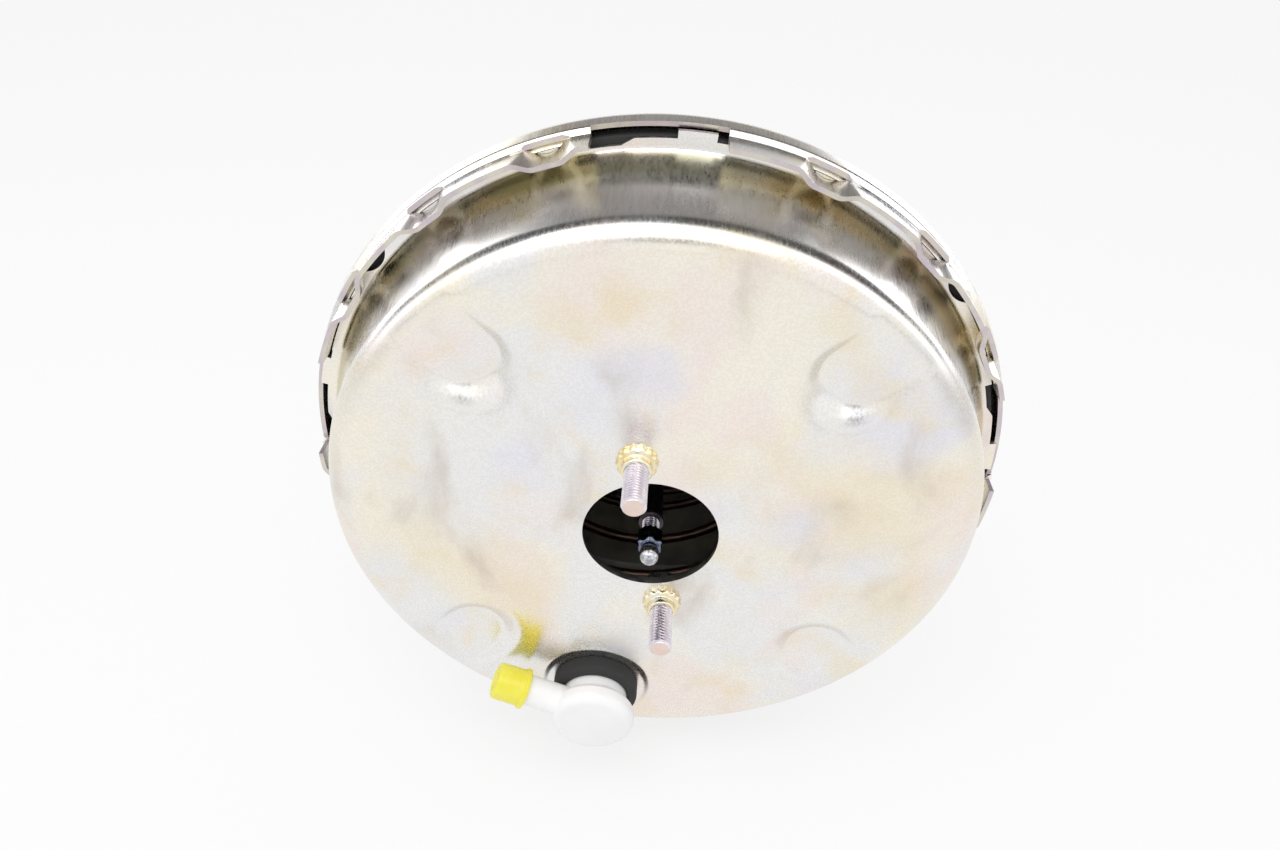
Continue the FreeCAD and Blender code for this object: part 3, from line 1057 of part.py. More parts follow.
def check_valve():
    pad = PAD_PLANE
    groove = f"{pad} + SheetThickness + GrommetSeam"
    bore = "StemTailRadius + FitGap"
    keep("valve_grommet", at_valve(turned("grommet", [
        (bore, f"{pad} + GrommetRear"), (bore, f"{pad} - GrommetStep"),
        ("StemRadius + FitGap", f"{pad} - GrommetStep"), ("StemRadius + FitGap", f"{pad} - GrommetReach"),
        ("GrommetRadius - GrommetBevel", f"{pad} - GrommetReach"),
        ("GrommetRadius", f"{pad} - GrommetReach + GrommetBevel"), ("GrommetRadius", f"{pad} - GrommetSeam"),
        ("ValveHoleRadius - FitGap", f"{pad} - GrommetSeam"), ("ValveHoleRadius - FitGap", groove),
        ("ValveHoleRadius + GrommetBarb", groove),
        ("ValveHoleRadius + GrommetBarb - GrommetBevel", f"{pad} + GrommetRear")])))
    split = f"{pad} - GrommetReach - SplitGap"
    keep("check_valve_stem", at_valve(turned("valve_stem", [
        ("StemBore", f"{pad} + StemRear"), ("StemTailRadius - DiscGap", f"{pad} + StemRear"),
        ("StemTailRadius + StemBarb", f"{pad} + StemBarbFront + SplitGap"),
        ("StemTailRadius", f"{pad} + StemBarbFront"),
        ("StemTailRadius", f"{pad} - GrommetStep - SoftGap"),
        ("StemRadius", f"{pad} - GrommetStep - SoftGap"), ("StemRadius", split),
        ("ChamberRadius", split), ("ChamberRadius", f"{pad} - ChamberFloor"),
        ("StemBore", f"{pad} - ChamberFloor")])))
    shell = at_valve(turned("valve_cover_form", [
        ("0", f"{pad} - HeadFront"), ("HeadRadius - HeadBevel", f"{pad} - HeadFront"),
        ("HeadRadius", f"{pad} - HeadFront + HeadBevel"), ("HeadRadius", f"{pad} - HeadRear"),
        ("StemRadius", f"{pad} - HeadRear"), ("StemRadius", split), ("0", split)]))
    port = along_port("hose_port", "PortRadius", "0", "PortLength")
    chamber_end = f"{pad} - HeadFront + HeadWall"
    chamber = at_valve(turned("valve_chamber", [
        ("0", f"{split} + 1"), ("ChamberRadius", f"{split} + 1"), ("ChamberRadius", chamber_end),
        ("0", chamber_end)]))
    port_bore = along_port("port_bore", "PortBore", "0", "PortLength + 1")
    outside = fuse("valve_cover_outside", [shell, port])
    keep("check_valve_cover", cut("valve_cover", outside, [chamber, port_bore]))
    seat = f"{pad} - ChamberFloor - SoftGap"
    rim = "ChamberRadius - DiscGap"
    keep("check_valve_disc", at_valve(turned("valve_disc", [
        ("0", seat), (rim, seat), (rim, f"{seat} - DiscPlate"), ("DiscKnob", f"{seat} - DiscPlate"),
        ("DiscKnob - DiscGap", f"{seat} - DiscHeight"), ("0", f"{seat} - DiscHeight")])))
    keep("check_valve_spring", coil("valve_spring", "ValveSpringRadius", "ValveSpringWire",
                                    f"{chamber_end} + PaperGap", f"{seat} - DiscPlate - PaperGap",
                                    "ValveSpringTurns", *polar("ValveRadius", "ValveClock")))


def port_cap():
    sleeve = along_port("cap_sleeve", "CapRadius", "CapMouth", "CapLength")
    lip = along_port("cap_lip", "CapRadius + CapLip", "CapMouth", "CapLipHeight")
    hollow = along_port("cap_hollow", "PortRadius + FitGap", "CapMouth - 1", "CapGrip + SoftGap + 1")
    keep("port_cap", cut("cap_cut", fuse("cap_outside", [sleeve, lip]), [hollow]))


def build():
    front_shell()
    front_reinforcement()
    master_cylinder_studs()
    rear_shell()
    diaphragm()
    valve_body()
    reaction_and_output()
    control_valve()
    input_side()
    air_side()
    check_valve()
    port_cap()
    DOC.recompute()


def check():
    """Stop if any object failed or any piece is empty or not valid."""
    failed = [o.Label for o in DOC.Objects if {"Invalid", "Error"} & set(o.State)]
    if failed:
        raise RuntimeError(f"failed objects: {failed}")
    for node, piece in PIECES.items():
        if piece.Shape.isNull() or not piece.Shape.isValid() or not piece.Shape.Solids:
            raise RuntimeError(f"{node} has no valid solid")


def export():
    os.makedirs("parts", exist_ok=True)
    for node, piece in PIECES.items():
        piece.Shape.exportStep(f"parts/{node}.step")
        print(f"{node}: {len(piece.Shape.Solids)} solid(s), {piece.Shape.Volume:.1f} mm3")


build()
check()
export()
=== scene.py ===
"""A vacuum brake booster in a plain studio: fine pressings, threads, rubber and plated finishes."""

import math

import bmesh
import bpy
import numpy as np
from bpy.props import FloatProperty, FloatVectorProperty, PointerProperty
from mathutils import Matrix, Vector


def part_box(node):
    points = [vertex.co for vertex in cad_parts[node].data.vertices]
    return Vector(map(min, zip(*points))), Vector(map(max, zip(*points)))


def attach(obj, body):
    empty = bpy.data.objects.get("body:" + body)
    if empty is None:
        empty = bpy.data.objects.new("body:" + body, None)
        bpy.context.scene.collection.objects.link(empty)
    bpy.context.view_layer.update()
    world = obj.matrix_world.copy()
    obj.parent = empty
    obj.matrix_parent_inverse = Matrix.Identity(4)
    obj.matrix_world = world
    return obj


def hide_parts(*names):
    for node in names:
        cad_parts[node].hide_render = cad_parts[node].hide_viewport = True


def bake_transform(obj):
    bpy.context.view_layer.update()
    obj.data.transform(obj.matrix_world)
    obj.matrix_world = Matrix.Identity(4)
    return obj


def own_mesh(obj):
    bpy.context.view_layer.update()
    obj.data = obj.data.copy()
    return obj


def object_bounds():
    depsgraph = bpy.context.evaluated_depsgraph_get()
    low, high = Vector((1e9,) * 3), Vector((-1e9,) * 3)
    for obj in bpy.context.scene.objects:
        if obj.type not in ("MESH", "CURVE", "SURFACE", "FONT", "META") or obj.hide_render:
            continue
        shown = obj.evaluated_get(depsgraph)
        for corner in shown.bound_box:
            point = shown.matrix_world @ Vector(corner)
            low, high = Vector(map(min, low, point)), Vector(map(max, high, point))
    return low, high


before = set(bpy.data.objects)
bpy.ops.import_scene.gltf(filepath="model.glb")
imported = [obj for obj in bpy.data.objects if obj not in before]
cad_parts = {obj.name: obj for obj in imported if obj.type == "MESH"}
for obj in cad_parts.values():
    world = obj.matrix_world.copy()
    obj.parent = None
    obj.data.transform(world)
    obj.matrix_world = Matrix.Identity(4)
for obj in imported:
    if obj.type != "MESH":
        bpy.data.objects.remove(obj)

bl_info = {
    "name": "Brake booster dressing",
    "version": (1, 0, 0),
    "blender": (4, 5, 0),
    "location": "View3D > Sidebar > Booster",
    "description": "Builds the visible pieces of a vacuum brake booster around its CAD frame",
    "category": "Object",
}

cad_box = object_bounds()

# Outlines are written in millimetres; mesh_piece turns them into metres
MM = 0.001


def span(node):
    """Lowest and highest corner of a CAD node, in millimetres."""
    low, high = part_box(node)
    return np.array(low) / MM, np.array(high) / MM


# Places that the frame gives, in millimetres; y runs from the front, where it is lowest
SHELL_LOW, SHELL_HIGH = span("front_shell")
REAR_LOW, REAR_HIGH = span("rear_shell")
FACE = SHELL_LOW[1]
FLANGE_REAR = SHELL_HIGH[1]
SHEET = 1.6
FLANGE_FRONT = FLANGE_REAR - SHEET
SKIRT_EDGE = REAR_LOW[1]
NECK_END = REAR_HIGH[1]
RIM_RADIUS = REAR_HIGH[0]

# The front cup: its face, corner, wall, flare and flange
CORNER_PLANE = -98.0
FACE_FLAT_RADIUS, FACE_BEND = 47.0, 160
CUP_RADIUS, CORNER_BEND = 111.5, 9
CUP_ROOT_RADIUS, ROOT_BEND = 114.1, 22
FLARE_START, FLARE_BEND, FLARE_END = -73.0, 1.4, 120.2
FLANGE_RADIUS = 122.9
PILOT_RADIUS = 23.3
POCKET_CLOCKS = (47.7, 132.3, 222.3, 317.7)
POCKET_INNER, POCKET_OUTER, POCKET_HALF, POCKET_DEPTH = 78.2, 106.6, 11.6, 5.0
POCKET_ROOT, POCKET_LIP = 0.9, 3.4
PAD_PLANE = CORNER_PLANE + 0.7
PAD_RADIUS, PAD_ROOT, PAD_LIP = 19.6, 0.5, 1.0

# The skirt around its flange; clocks are in degrees from +X
SKIRT_RADIUS = 124.8
WINDOW_CLOCKS = (91.7, 170, 10, 270)
WINDOW_HALF, WINDOW_DEPTH = 20.6, 11.4
LANCE_PITCH, LANCE_FIRST = 20, 7.6
LANCE_EDGE_HALF, LANCE_SLIT_HALF, LANCE_INSET = 10.8, 6.4, 2.9
NOTCH_CLOCKS = (39.2, 140.8, 219.2, 320.8)
NOTCH_RADIUS, NOTCH_REACH = 8.0, 2.6

# The flange's edge in a window: place along the rim from the window's clock, and radius
FLANGE_STEPS = ((-21.6, 120.6), (-11.95, 120.6), (-7.6, 122.6), (5.48, 122.6), (5.52, 125.0),
                (17.38, 125.0), (17.42, 122.6), (21.6, 122.6))

# Studs, adjuster and check valve
STUD_CLOCK, STUD_SPACING = 99.6, 65.0
STUD_RADIUS, STUD_CHAMFER, STUD_PITCH = 4.0, 0.75, 1.25
STUD_NECK_RADIUS, STUD_NECK, STUD_HEAD_RADIUS = 4.9, 4.1, 8.0
HEX_FRONT, HEX_REAR, HEX_FLATS = -107.1, -100.1, 8.0
VALVE_RADIUS, VALVE_CLOCK, PORT_CLOCK = 88.4, -102.2, 157.4
PORT_HEIGHT = 13.3


def polar(radius, clock):
    """x and z at a radius and an angle in degrees from +X."""
    return np.array([radius * math.cos(math.radians(clock)), radius * math.sin(math.radians(clock))])


VALVE_X, VALVE_Z = polar(VALVE_RADIUS, VALVE_CLOCK)


# Outlines and meshes

def bend(corners, closed=False, steps=7):
    """A smooth outline through corners (radius, y[, rounding])."""
    points = []
    count = len(corners)
    for i, corner in enumerate(corners):
        spot = np.array(corner[:2], float)
        if len(corner) < 3 or (not closed and i in (0, count - 1)):
            points.append(spot)
            continue
        before = np.array(corners[i - 1][:2], float) - spot
        after = np.array(corners[(i + 1) % count][:2], float) - spot
        before /= np.linalg.norm(before)
        after /= np.linalg.norm(after)
        half = math.acos(np.clip(before @ after, -1, 1)) / 2
        middle = (before + after) / np.linalg.norm(before + after)
        centre = spot + middle * corner[2] / math.sin(half)
        first = spot + before * corner[2] / math.tan(half) - centre
        last = spot + after * corner[2] / math.tan(half) - centre
        turn = math.pi - 2 * half
        for step in range(steps + 1):
            share = step / steps
            arm = first * math.sin((1 - share) * turn) + last * math.sin(share * turn)
            points.append(centre + arm / math.sin(turn))
    return np.array(points)


def resample(outline, spacing):
    """Extra points on the straight runs of an outline, so that none is longer than spacing."""
    dense = [outline[0]]
    for start, end in zip(outline[:-1], outline[1:]):
        pieces = max(1, math.ceil(np.linalg.norm(end - start) / spacing))
        dense += [start + (end - start) * i / pieces for i in range(1, pieces + 1)]
    return np.array(dense)


def ring(radius, y, angles, at=(0, 0)):
    """A row of points round an axis along Y; the radius may change from angle to angle."""
    return np.column_stack([at[0] + radius * np.cos(angles), np.full(len(angles), y),
                            at[1] + radius * np.sin(angles)])


def grid_faces(rows, columns):
    """Quads between rows of points, each closed on itself."""
    faces = []
    for row in range(rows - 1):
        for column in range(columns):
            after = (column + 1) % columns
            faces.append((row * columns + column, row * columns + after,
                          (row + 1) * columns + after, (row + 1) * columns + column))
    return faces


def show(name, mesh, sharp):
    """An object in the scene that shows a mesh."""
    piece = bpy.data.objects.new(name, mesh)
    bpy.context.scene.collection.objects.link(piece)
    smooth(piece, sharp)
    return piece


def smooth(piece, sharp=38.0):
    """Smooth shading, with edges over an angle kept sharp."""
    piece.data.shade_smooth()
    piece.data.set_sharp_from_angle(angle=math.radians(sharp))


def mesh_piece(name, points, faces, material, sharp=38.0):
    """A mesh object from points in millimetres, welded, with outward normals."""
    mesh = bpy.data.meshes.new(name)
    mesh.from_pydata((np.asarray(points) * MM).tolist(), [], faces)
    form = bmesh.new()
    form.from_mesh(mesh)
    bmesh.ops.remove_doubles(form, verts=form.verts, dist=1e-6)
    bmesh.ops.recalc_face_normals(form, faces=form.faces)
    form.to_mesh(mesh)
    form.free()
    mesh.materials.append(material)
    return show(name, mesh, sharp)


def join(name, parts, sharp=50.0):
    """One object from several meshes, each with its own finish."""
    finishes = []
    form = bmesh.new()
    for part in parts:
        material = part.data.materials[0]
        if material not in finishes:
            finishes.append(material)
        for face in part.data.polygons:
            face.material_index = finishes.index(material)
        form.from_mesh(part.data)
    for part in parts:
        old = part.data
        bpy.data.objects.remove(part)
        bpy.data.meshes.remove(old)
    mesh = bpy.data.meshes.new(name)
    form.to_mesh(mesh)
    form.free()
    for material in finishes:
        mesh.materials.append(material)
    return show(name, mesh, sharp)


def settle(piece):
    """Apply every modifier of a piece."""
    graph = bpy.context.evaluated_depsgraph_get()
    mesh = bpy.data.meshes.new_from_object(piece.evaluated_get(graph))
    piece.modifiers.clear()
    old = piece.data
    piece.data = mesh
    bpy.data.meshes.remove(old)
    smooth(piece)


def thicken(piece):
    """Give a pressed skin its sheet thickness on the inside, with another finish on cut edges."""
    piece.data.materials.append(finish("cut_edge"))
    sheet = piece.modifiers.new("Sheet", "SOLIDIFY")
    sheet.thickness = SHEET * MM
    sheet.offset = -1
    sheet.use_even_offset = False
    sheet.material_offset_rim = 1
    settle(piece)


def unite(target, tool):
    """Join a second piece, which is then removed, to the first."""
    step = target.modifiers.new("Merge", "BOOLEAN")
    step.operation = "UNION"
    step.object = tool
    step.solver = "EXACT"
    settle(target)
    bpy.data.objects.remove(tool)


def lathe(name, outline, material, segments=96, closed=False, shape=None, at=(0, 0), sharp=38.0):
    """A piece turned about an axis along Y; shape(angles, radius, y) may vary the radius around it."""
    angles = np.linspace(0, 2 * math.pi, segments, endpoint=False)
    rows = [ring(shape(angles, radius, y) if shape else radius, y, angles, at) for radius, y in outline]
    if closed:
        rows.append(rows[0])
    return mesh_piece(name, np.concatenate(rows), grid_faces(len(rows), segments), material, sharp)


def thread_wave(angles, y, pitch):
    """0 at the root and 1 at the crest of a right-hand screw thread along Y."""
    phase = (y / pitch - angles / (2 * math.pi)) % 1
    return np.clip(2.6 * np.abs(2 * phase - 1) - 0.75, 0, 1)


def threaded(name, outline, first, last, pitch, material, at=(0, 0)):
    """A turned piece whose outline carries a screw thread between two values of y."""
    depth = 0.61 * pitch
    crest = max(radius for radius, y in outline if first <= y <= last)
    fine = resample(np.array(outline, float), pitch / 9)

    def shape(angles, radius, y):
        if not first <= y <= last or radius < crest - depth:
            return radius
        inside = min(1.0, (y - first) / pitch + 0.5, (last - y) / pitch)
        wave = 1 - (1 - thread_wave(angles, y, pitch)) * inside
        return np.minimum(radius, crest - depth + depth * wave)

    return lathe(name, fine, material, 48, shape=shape, at=at, sharp=50)


def tube(name, line, radius, material, sides=14):
    """A round bar along a line of points in millimetres, closed at both ends."""
    line = np.asarray(line, float)
    ahead = np.gradient(line, axis=0)
    ahead /= np.linalg.norm(ahead, axis=1)[:, None]
    side = np.cross(ahead, (0, 1, 0))
    side /= np.linalg.norm(side, axis=1)[:, None]
    up = np.cross(side, ahead)
    turns = np.linspace(0, 2 * math.pi, sides, endpoint=False)
    rings = [line[:1].repeat(sides, 0)]
    rings += [line[i] + radius * (np.outer(np.cos(turns), side[i]) + np.outer(np.sin(turns), up[i]))
              for i in range(len(line))]
    rings.append(line[-1:].repeat(sides, 0))
    return mesh_piece(name, np.concatenate(rings), grid_faces(len(rings), sides), material)


def coil(name, mean, wire, first, last, turns, at=(0, 0)):
    """A compression spring along Y with closed end turns."""
    share = np.linspace(0, 1, 48 * turns + 1)
    eased = np.clip((share * turns - 0.75) / (turns - 1.5), 0, 1)
    y = first + wire + (last - first - 2 * wire) * (0.05 * share + 0.95 * eased)
    angles = 2 * math.pi * turns * share
    line = np.column_stack([at[0] + mean * np.cos(angles), y, at[1] + mean * np.sin(angles)])
    return tube(name, line, wire, finish("spring_wire"))


def carry(piece, body, finish_slot, *nodes):
    """Let a piece ride on its body in place of the CAD nodes that it stands for."""
    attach(piece, body)
    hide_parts(*nodes)
    return piece


# Node trees

class Nodes:
    """Short hands for building a node tree."""

    def __init__(self, owner):
        owner.use_nodes = True
        self.tree = owner.node_tree

    def add(self, kind, **values):
        node = self.tree.nodes.new(kind)
        for key, value in values.items():
            setattr(node, key, value)
        return node

    def feed(self, node, inputs):
        """Set a node's inputs to values, colours or other nodes' outputs; gives its first output."""
        for key, value in inputs.items():
            socket = node.inputs[key]
            if isinstance(value, bpy.types.NodeSocket):
                self.tree.links.new(value, socket)
            else:
                socket.default_value = (*value, 1) if socket.type == "RGBA" else value
        return node.outputs[0]

    def split(self, vector):
        node = self.add("ShaderNodeSeparateXYZ")
        self.feed(node, {0: vector})
        return node.outputs

    def math(self, operation, first, second=0.0):
        return self.feed(self.add("ShaderNodeMath", operation=operation), {0: first, 1: second})

    def mix(self, share, first, second):
        node = self.add("ShaderNodeMix", data_type="RGBA")
        self.feed(node, {0: share, 6: first, 7: second})
        return node.outputs[2]

    def spread(self, source, low, high, to_low=0.0, to_high=1.0, easing="SMOOTHSTEP"):
        """Map a value from one range to another, clamped and eased."""
        return self.feed(self.add("ShaderNodeMapRange", interpolation_type=easing), {
            "Value": source, "From Min": low, "From Max": high, "To Min": to_low, "To Max": to_high})

    def between(self, source, first, full, ending, last, top=1.0):
        """A value that rises from 0 between two places and falls back between two others."""
        return self.math("MULTIPLY", self.spread(source, first, full, 0, top),
                         self.spread(source, last, ending))

    def light_paths(self):
        """Shares for rays that show a surface, seen or mirrored, and for the mirrored ones alone."""
        paths = self.add("ShaderNodeLightPath").outputs
        seen = paths["Is Camera Ray"]
        for kind in ("Is Glossy Ray", "Is Transmission Ray"):
            seen = self.math("MAXIMUM", seen, paths[kind])
        return seen, paths["Is Glossy Ray"]

    def surface(self, output, share, first, second):
        """Send a mix of two shaders to the tree's only output."""
        shader = self.feed(self.add("ShaderNodeMixShader"), {0: share, 1: first, 2: second})
        self.tree.links.new(shader, self.add(output).inputs[0])


class Coat(Nodes):
    """Short hands for a finish around the principled shader."""

    def __init__(self, name):
        self.material = bpy.data.materials.new(name)
        super().__init__(self.material)
        self.shader = self.tree.nodes["Principled BSDF"]
        self.place = self.add("ShaderNodeTexCoord").outputs["Object"]

    def stretch(self, scale):
        """Object coordinates multiplied along each axis."""
        return self.feed(self.add("ShaderNodeVectorMath", operation="MULTIPLY"), {0: self.place, 1: scale})

    def noise(self, scale, detail=4.0, vector=None, distortion=0.0):
        return self.feed(self.add("ShaderNodeTexNoise"), {
            "Scale": scale, "Detail": detail, "Distortion": distortion, "Vector": vector or self.place})

    def clouds(self, base, tint, noise, low, high, share):
        """Lay clouds of a tint over a base where a noise is high."""
        return self.mix(self.spread(noise, low, high, 0, share), base, tint)

    def bump(self, height, distance, strength):
        normal = self.feed(self.add("ShaderNodeBump"), {
            "Distance": distance, "Strength": strength, "Height": height})
        self.feed(self.shader, {"Normal": normal})

    def set(self, **values):
        self.feed(self.shader, {key.replace("_", " "): value for key, value in values.items()})
        return self.material


# Finishes

# Larger stains of the film on the face: x and z of the middle and radius in millimetres, tint, strength
FACE_STAINS = (
    (68, 12, 42, "straw", 0.75), (38, 84, 36, "cream", 0.8), (-18, 90, 26, "pink", 0.7),
    (16, 28, 14, "straw", 0.6), (-50, -30, 30, "straw", 0.55), (50, 8, 14, "lilac", 0.8),
    (-22, 52, 14, "lilac", 0.6), (22, 12, 10, "lilac", 0.8), (-80, -8, 30, "straw", 0.4),
    (-86, 40, 30, "cream", 0.6), (88, -28, 24, "straw", 0.55), (-40, 6, 20, "pink", 0.4),
)

# y in millimetres where the film of the wall or flare begins, is full, wears off and ends
FLARE_FILM = (-75.5, -66.5, -62.0, -60.2)
PLAIN_WALL = (-95.5, -88.0, -76.0, -67.0)


def passivate(name, strength=1.0, flared=True):
    """Zinc plate with a pale chromate film: clouds of cream, pink and blue over silver."""
    nodes = Coat(name)
    film = bpy.context.scene.booster_colours
    along = nodes.split(nodes.place)["Y"]
    base = nodes.mix(nodes.spread(nodes.noise(16, 6, distortion=0.8), 0.42, 0.60), film.silver, film.cream)
    pink = nodes.noise(23, 3, nodes.stretch((1.0, 1.0, 0.8)))
    base = nodes.clouds(base, film.pink, pink, 0.52, 0.66, 0.7 * strength)
    blue = nodes.noise(19, 3, nodes.stretch((-1.0, 1.0, 1.3)))
    base = nodes.clouds(base, film.lilac, blue, 0.55, 0.68, 0.7 * strength)
    if flared:
        wander = nodes.math("MULTIPLY", nodes.noise(30, 5, distortion=1.0), 1.3)
        for x, z, radius, tint_name, share in FACE_STAINS:
            apart = nodes.add("ShaderNodeVectorMath", operation="DISTANCE")
            nodes.feed(apart, {0: nodes.place, 1: (x * MM, CORNER_PLANE * MM, z * MM)})
            radii = nodes.math("MULTIPLY", apart.outputs["Value"], 1 / (radius * MM))
            near = nodes.math("ADD", radii, wander)
            base = nodes.clouds(base, getattr(film, tint_name), near, 1.75, 0.55, share)
    base = nodes.clouds(base, film.straw, nodes.noise(42, 7, distortion=0.2), 0.50, 0.76, 0.7 * strength)
    brown = nodes.noise(28, 8, nodes.stretch((1.4, 1.0, -0.8)), 0.3)
    base = nodes.clouds(base, film.rust, brown, 0.54, 0.76, 0.6 * strength)
    if flared:
        # The film is thicker, and green or gold in patches, where the wall flares into the flange
        flare = nodes.between(along, *(y * MM for y in FLARE_FILM))
        patch = nodes.spread(nodes.noise(26, 3), 0.38, 0.58, 0.55, 1.0)
        tone = nodes.mix(nodes.spread(nodes.noise(38, 2, nodes.stretch((1.0, -1.0, 1.0))), 0.42, 0.58),
                         film.olive, film.gold)
        base = nodes.mix(nodes.math("MULTIPLY", flare, patch), base, tone)
        base = nodes.mix(nodes.between(along, *(y * MM for y in PLAIN_WALL), top=0.8), base, film.silver)
    # Drawing marks run along the wall; on the face the same grain reads as fine speckle
    streaks = nodes.noise(55, 4, nodes.stretch((22.0, 0.6, 22.0)))
    base = nodes.mix(nodes.spread(streaks, 0.40, 0.62, 0.16, 0.0), base, film.rust)
    rough = nodes.spread(nodes.math("ADD", nodes.noise(35, 4), nodes.math("MULTIPLY", streaks, 0.8)),
                         0.65, 1.2, 0.22, 0.36)
    height = nodes.math("ADD", nodes.math("MULTIPLY", streaks, 0.35),
                        nodes.math("MULTIPLY", nodes.noise(70, 2), 2.0))
    nodes.bump(height, 0.00003, 0.45)
    return nodes.set(Base_Color=base, Metallic=1.0, Roughness=rough)


def two_tints(nodes, scale, first, second):
    """Soft changes between two near tints."""
    return nodes.mix(nodes.spread(nodes.noise(scale, 4), 0.35, 0.65), first, second)


def plated(name, colour, second, scale, rough):
    """A plated or bare metal with two near tints and fine tool marks."""
    nodes = Coat(name)
    base = two_tints(nodes, scale, colour, second)
    roughness = nodes.spread(nodes.noise(scale * 2.3, 3), 0.3, 0.7, *rough)
    nodes.bump(nodes.noise(scale * 12, 2), 0.00002, 0.3)
    return nodes.set(Base_Color=base, Metallic=1.0, Roughness=roughness)


def moulded(name, colour, second, scale, rough, grain=0.00003, depth=0.0):
    """Rubber, nylon or phenolic with a soft colour variation, a fine grain and some light inside."""
    nodes = Coat(name)
    base = two_tints(nodes, scale, colour, second)
    roughness = nodes.spread(nodes.noise(scale * 3, 3), 0.3, 0.7, *rough)
    nodes.bump(nodes.noise(scale * 30, 2), grain, 0.4)
    if depth:
        nodes.set(Subsurface_Weight=depth, Subsurface_Radius=(0.006, 0.005, 0.001))
    return nodes.set(Base_Color=base, Roughness=roughness)


# Each finish: its maker, two tints, scale of its clouds, range of roughness
FINISHES = {
    "chromate_sheet": (passivate,),
    "chromate_rear": (passivate, 0.6, False),
    "cut_edge": (plated, (0.62, 0.55, 0.60), (0.70, 0.66, 0.58), 150, (0.3, 0.45)),
    "stud_zinc": (plated, (0.86, 0.81, 0.85), (0.72, 0.68, 0.75), 200, (0.22, 0.34)),
    "stud_tip": (plated, (0.86, 0.70, 0.62), (0.80, 0.66, 0.60), 200, (0.45, 0.55)),
    "gold_chromate": (plated, (0.90, 0.74, 0.40), (0.84, 0.80, 0.66), 120, (0.18, 0.30)),
    "bare_steel": (plated, (0.62, 0.60, 0.57), (0.52, 0.51, 0.50), 80, (0.28, 0.42)),
    "blued_steel": (plated, (0.035, 0.045, 0.085), (0.06, 0.07, 0.11), 200, (0.12, 0.24)),
    "polished_tip": (plated, (0.70, 0.71, 0.74), (0.34, 0.35, 0.38), 900, (0.12, 0.4)),
    "dark_phosphate": (plated, (0.05, 0.045, 0.05), (0.09, 0.08, 0.085), 300, (0.35, 0.5)),
    "spring_wire": (plated, (0.09, 0.055, 0.045), (0.14, 0.09, 0.07), 120, (0.3, 0.45)),
    "black_rubber": (moulded, (0.042, 0.039, 0.046), (0.055, 0.052, 0.060), 60, (0.42, 0.56)),
    "white_nylon": (moulded, (0.92, 0.92, 0.92), (0.88, 0.88, 0.89), 40, (0.28, 0.38)),
    "yellow_cap": (moulded, (0.80, 0.72, 0.03), (0.86, 0.80, 0.10), 60, (0.22, 0.32), 0.00003, 0.25),
    "phenolic": (moulded, (0.10, 0.08, 0.078), (0.13, 0.10, 0.095), 90, (0.35, 0.5)),
    "grey_foam": (moulded, (0.13, 0.13, 0.135), (0.19, 0.19, 0.19), 400, (0.85, 0.95), 0.0003),
    "pressed_felt": (moulded, (0.46, 0.43, 0.38), (0.55, 0.52, 0.47), 300, (0.9, 1.0), 0.0002),
}


def finish(name):
    """The shared material of a given name, made on first use."""
    maker, *values = FINISHES[name]
    return bpy.data.materials.get(name) or maker(name, *values)


# The two pressed shells

def soft_max(first, second, blend):
    """The larger of two values, with a rounding of a given width where they meet."""
    near = np.maximum(blend - np.abs(first - second), 0) / blend
    return np.maximum(first, second) + near * near * blend / 4


def soft_positive(value, blend):
    return (value + np.sqrt(value * value + blend * blend)) / 2


def pocket_rise(out):
    """y of a pocket's sloping floor, whose outer end meets the sloping face."""
    slope = (CORNER_PLANE - FACE) / (CUP_RADIUS - FACE_FLAT_RADIUS)
    outer_end = CORNER_PLANE - slope * (CUP_RADIUS - POCKET_OUTER)
    return outer_end + POCKET_DEPTH * (1 - (out - POCKET_INNER) / (POCKET_OUTER - POCKET_INNER))


def pressed_face(x, z, y):
    """y of the face after its pockets and the valve's pad are pressed in."""
    for clock in POCKET_CLOCKS:
        along_x, along_z = polar(1, clock)
        out = x * along_x + z * along_z
        side = np.abs(z * along_x - x * along_z)
        back = np.maximum(POCKET_INNER + POCKET_HALF - out, 0)
        beyond = np.hypot(back, side) - POCKET_HALF
        floor = pocket_rise(out) - soft_positive(beyond, POCKET_ROOT)
        y = np.where(out > 0, soft_max(y, floor, POCKET_LIP), y)
    beyond = np.hypot(x - VALVE_X, z - VALVE_Z) - PAD_RADIUS
    return soft_max(y, PAD_PLANE - soft_positive(beyond, PAD_ROOT), PAD_LIP)


def window_turn(angles, clock):
    """Angle from each place round the booster to a clock, positive clockwise seen from the front."""
    return (math.radians(clock) - angles + math.pi) % (2 * math.pi) - math.pi


def window_offset(angles, clock):
    """The same as a distance along the rim, in millimetres."""
    return window_turn(angles, clock) * SKIRT_RADIUS


def flange_edge(angles):
    """Outer radius of the front flange: round, with stepped windows, key tabs and notches."""
    edge = np.full(len(angles), FLANGE_RADIUS)
    places, radii = zip(*FLANGE_STEPS)
    for clock in WINDOW_CLOCKS:
        offset = window_offset(angles, clock)
        inside = np.abs(offset) < places[-1]
        edge[inside] = np.interp(offset[inside], places, radii)
    centre = FLANGE_RADIUS + NOTCH_RADIUS - NOTCH_REACH
    for clock in NOTCH_CLOCKS:
        turn = window_turn(angles, clock)
        reach = NOTCH_RADIUS ** 2 - (centre * np.sin(turn)) ** 2
        inside = (reach > 0) & (np.abs(turn) < 1)
        bite = centre * np.cos(turn[inside]) - np.sqrt(reach[inside])
        edge[inside] = np.minimum(edge[inside], bite)
    return edge


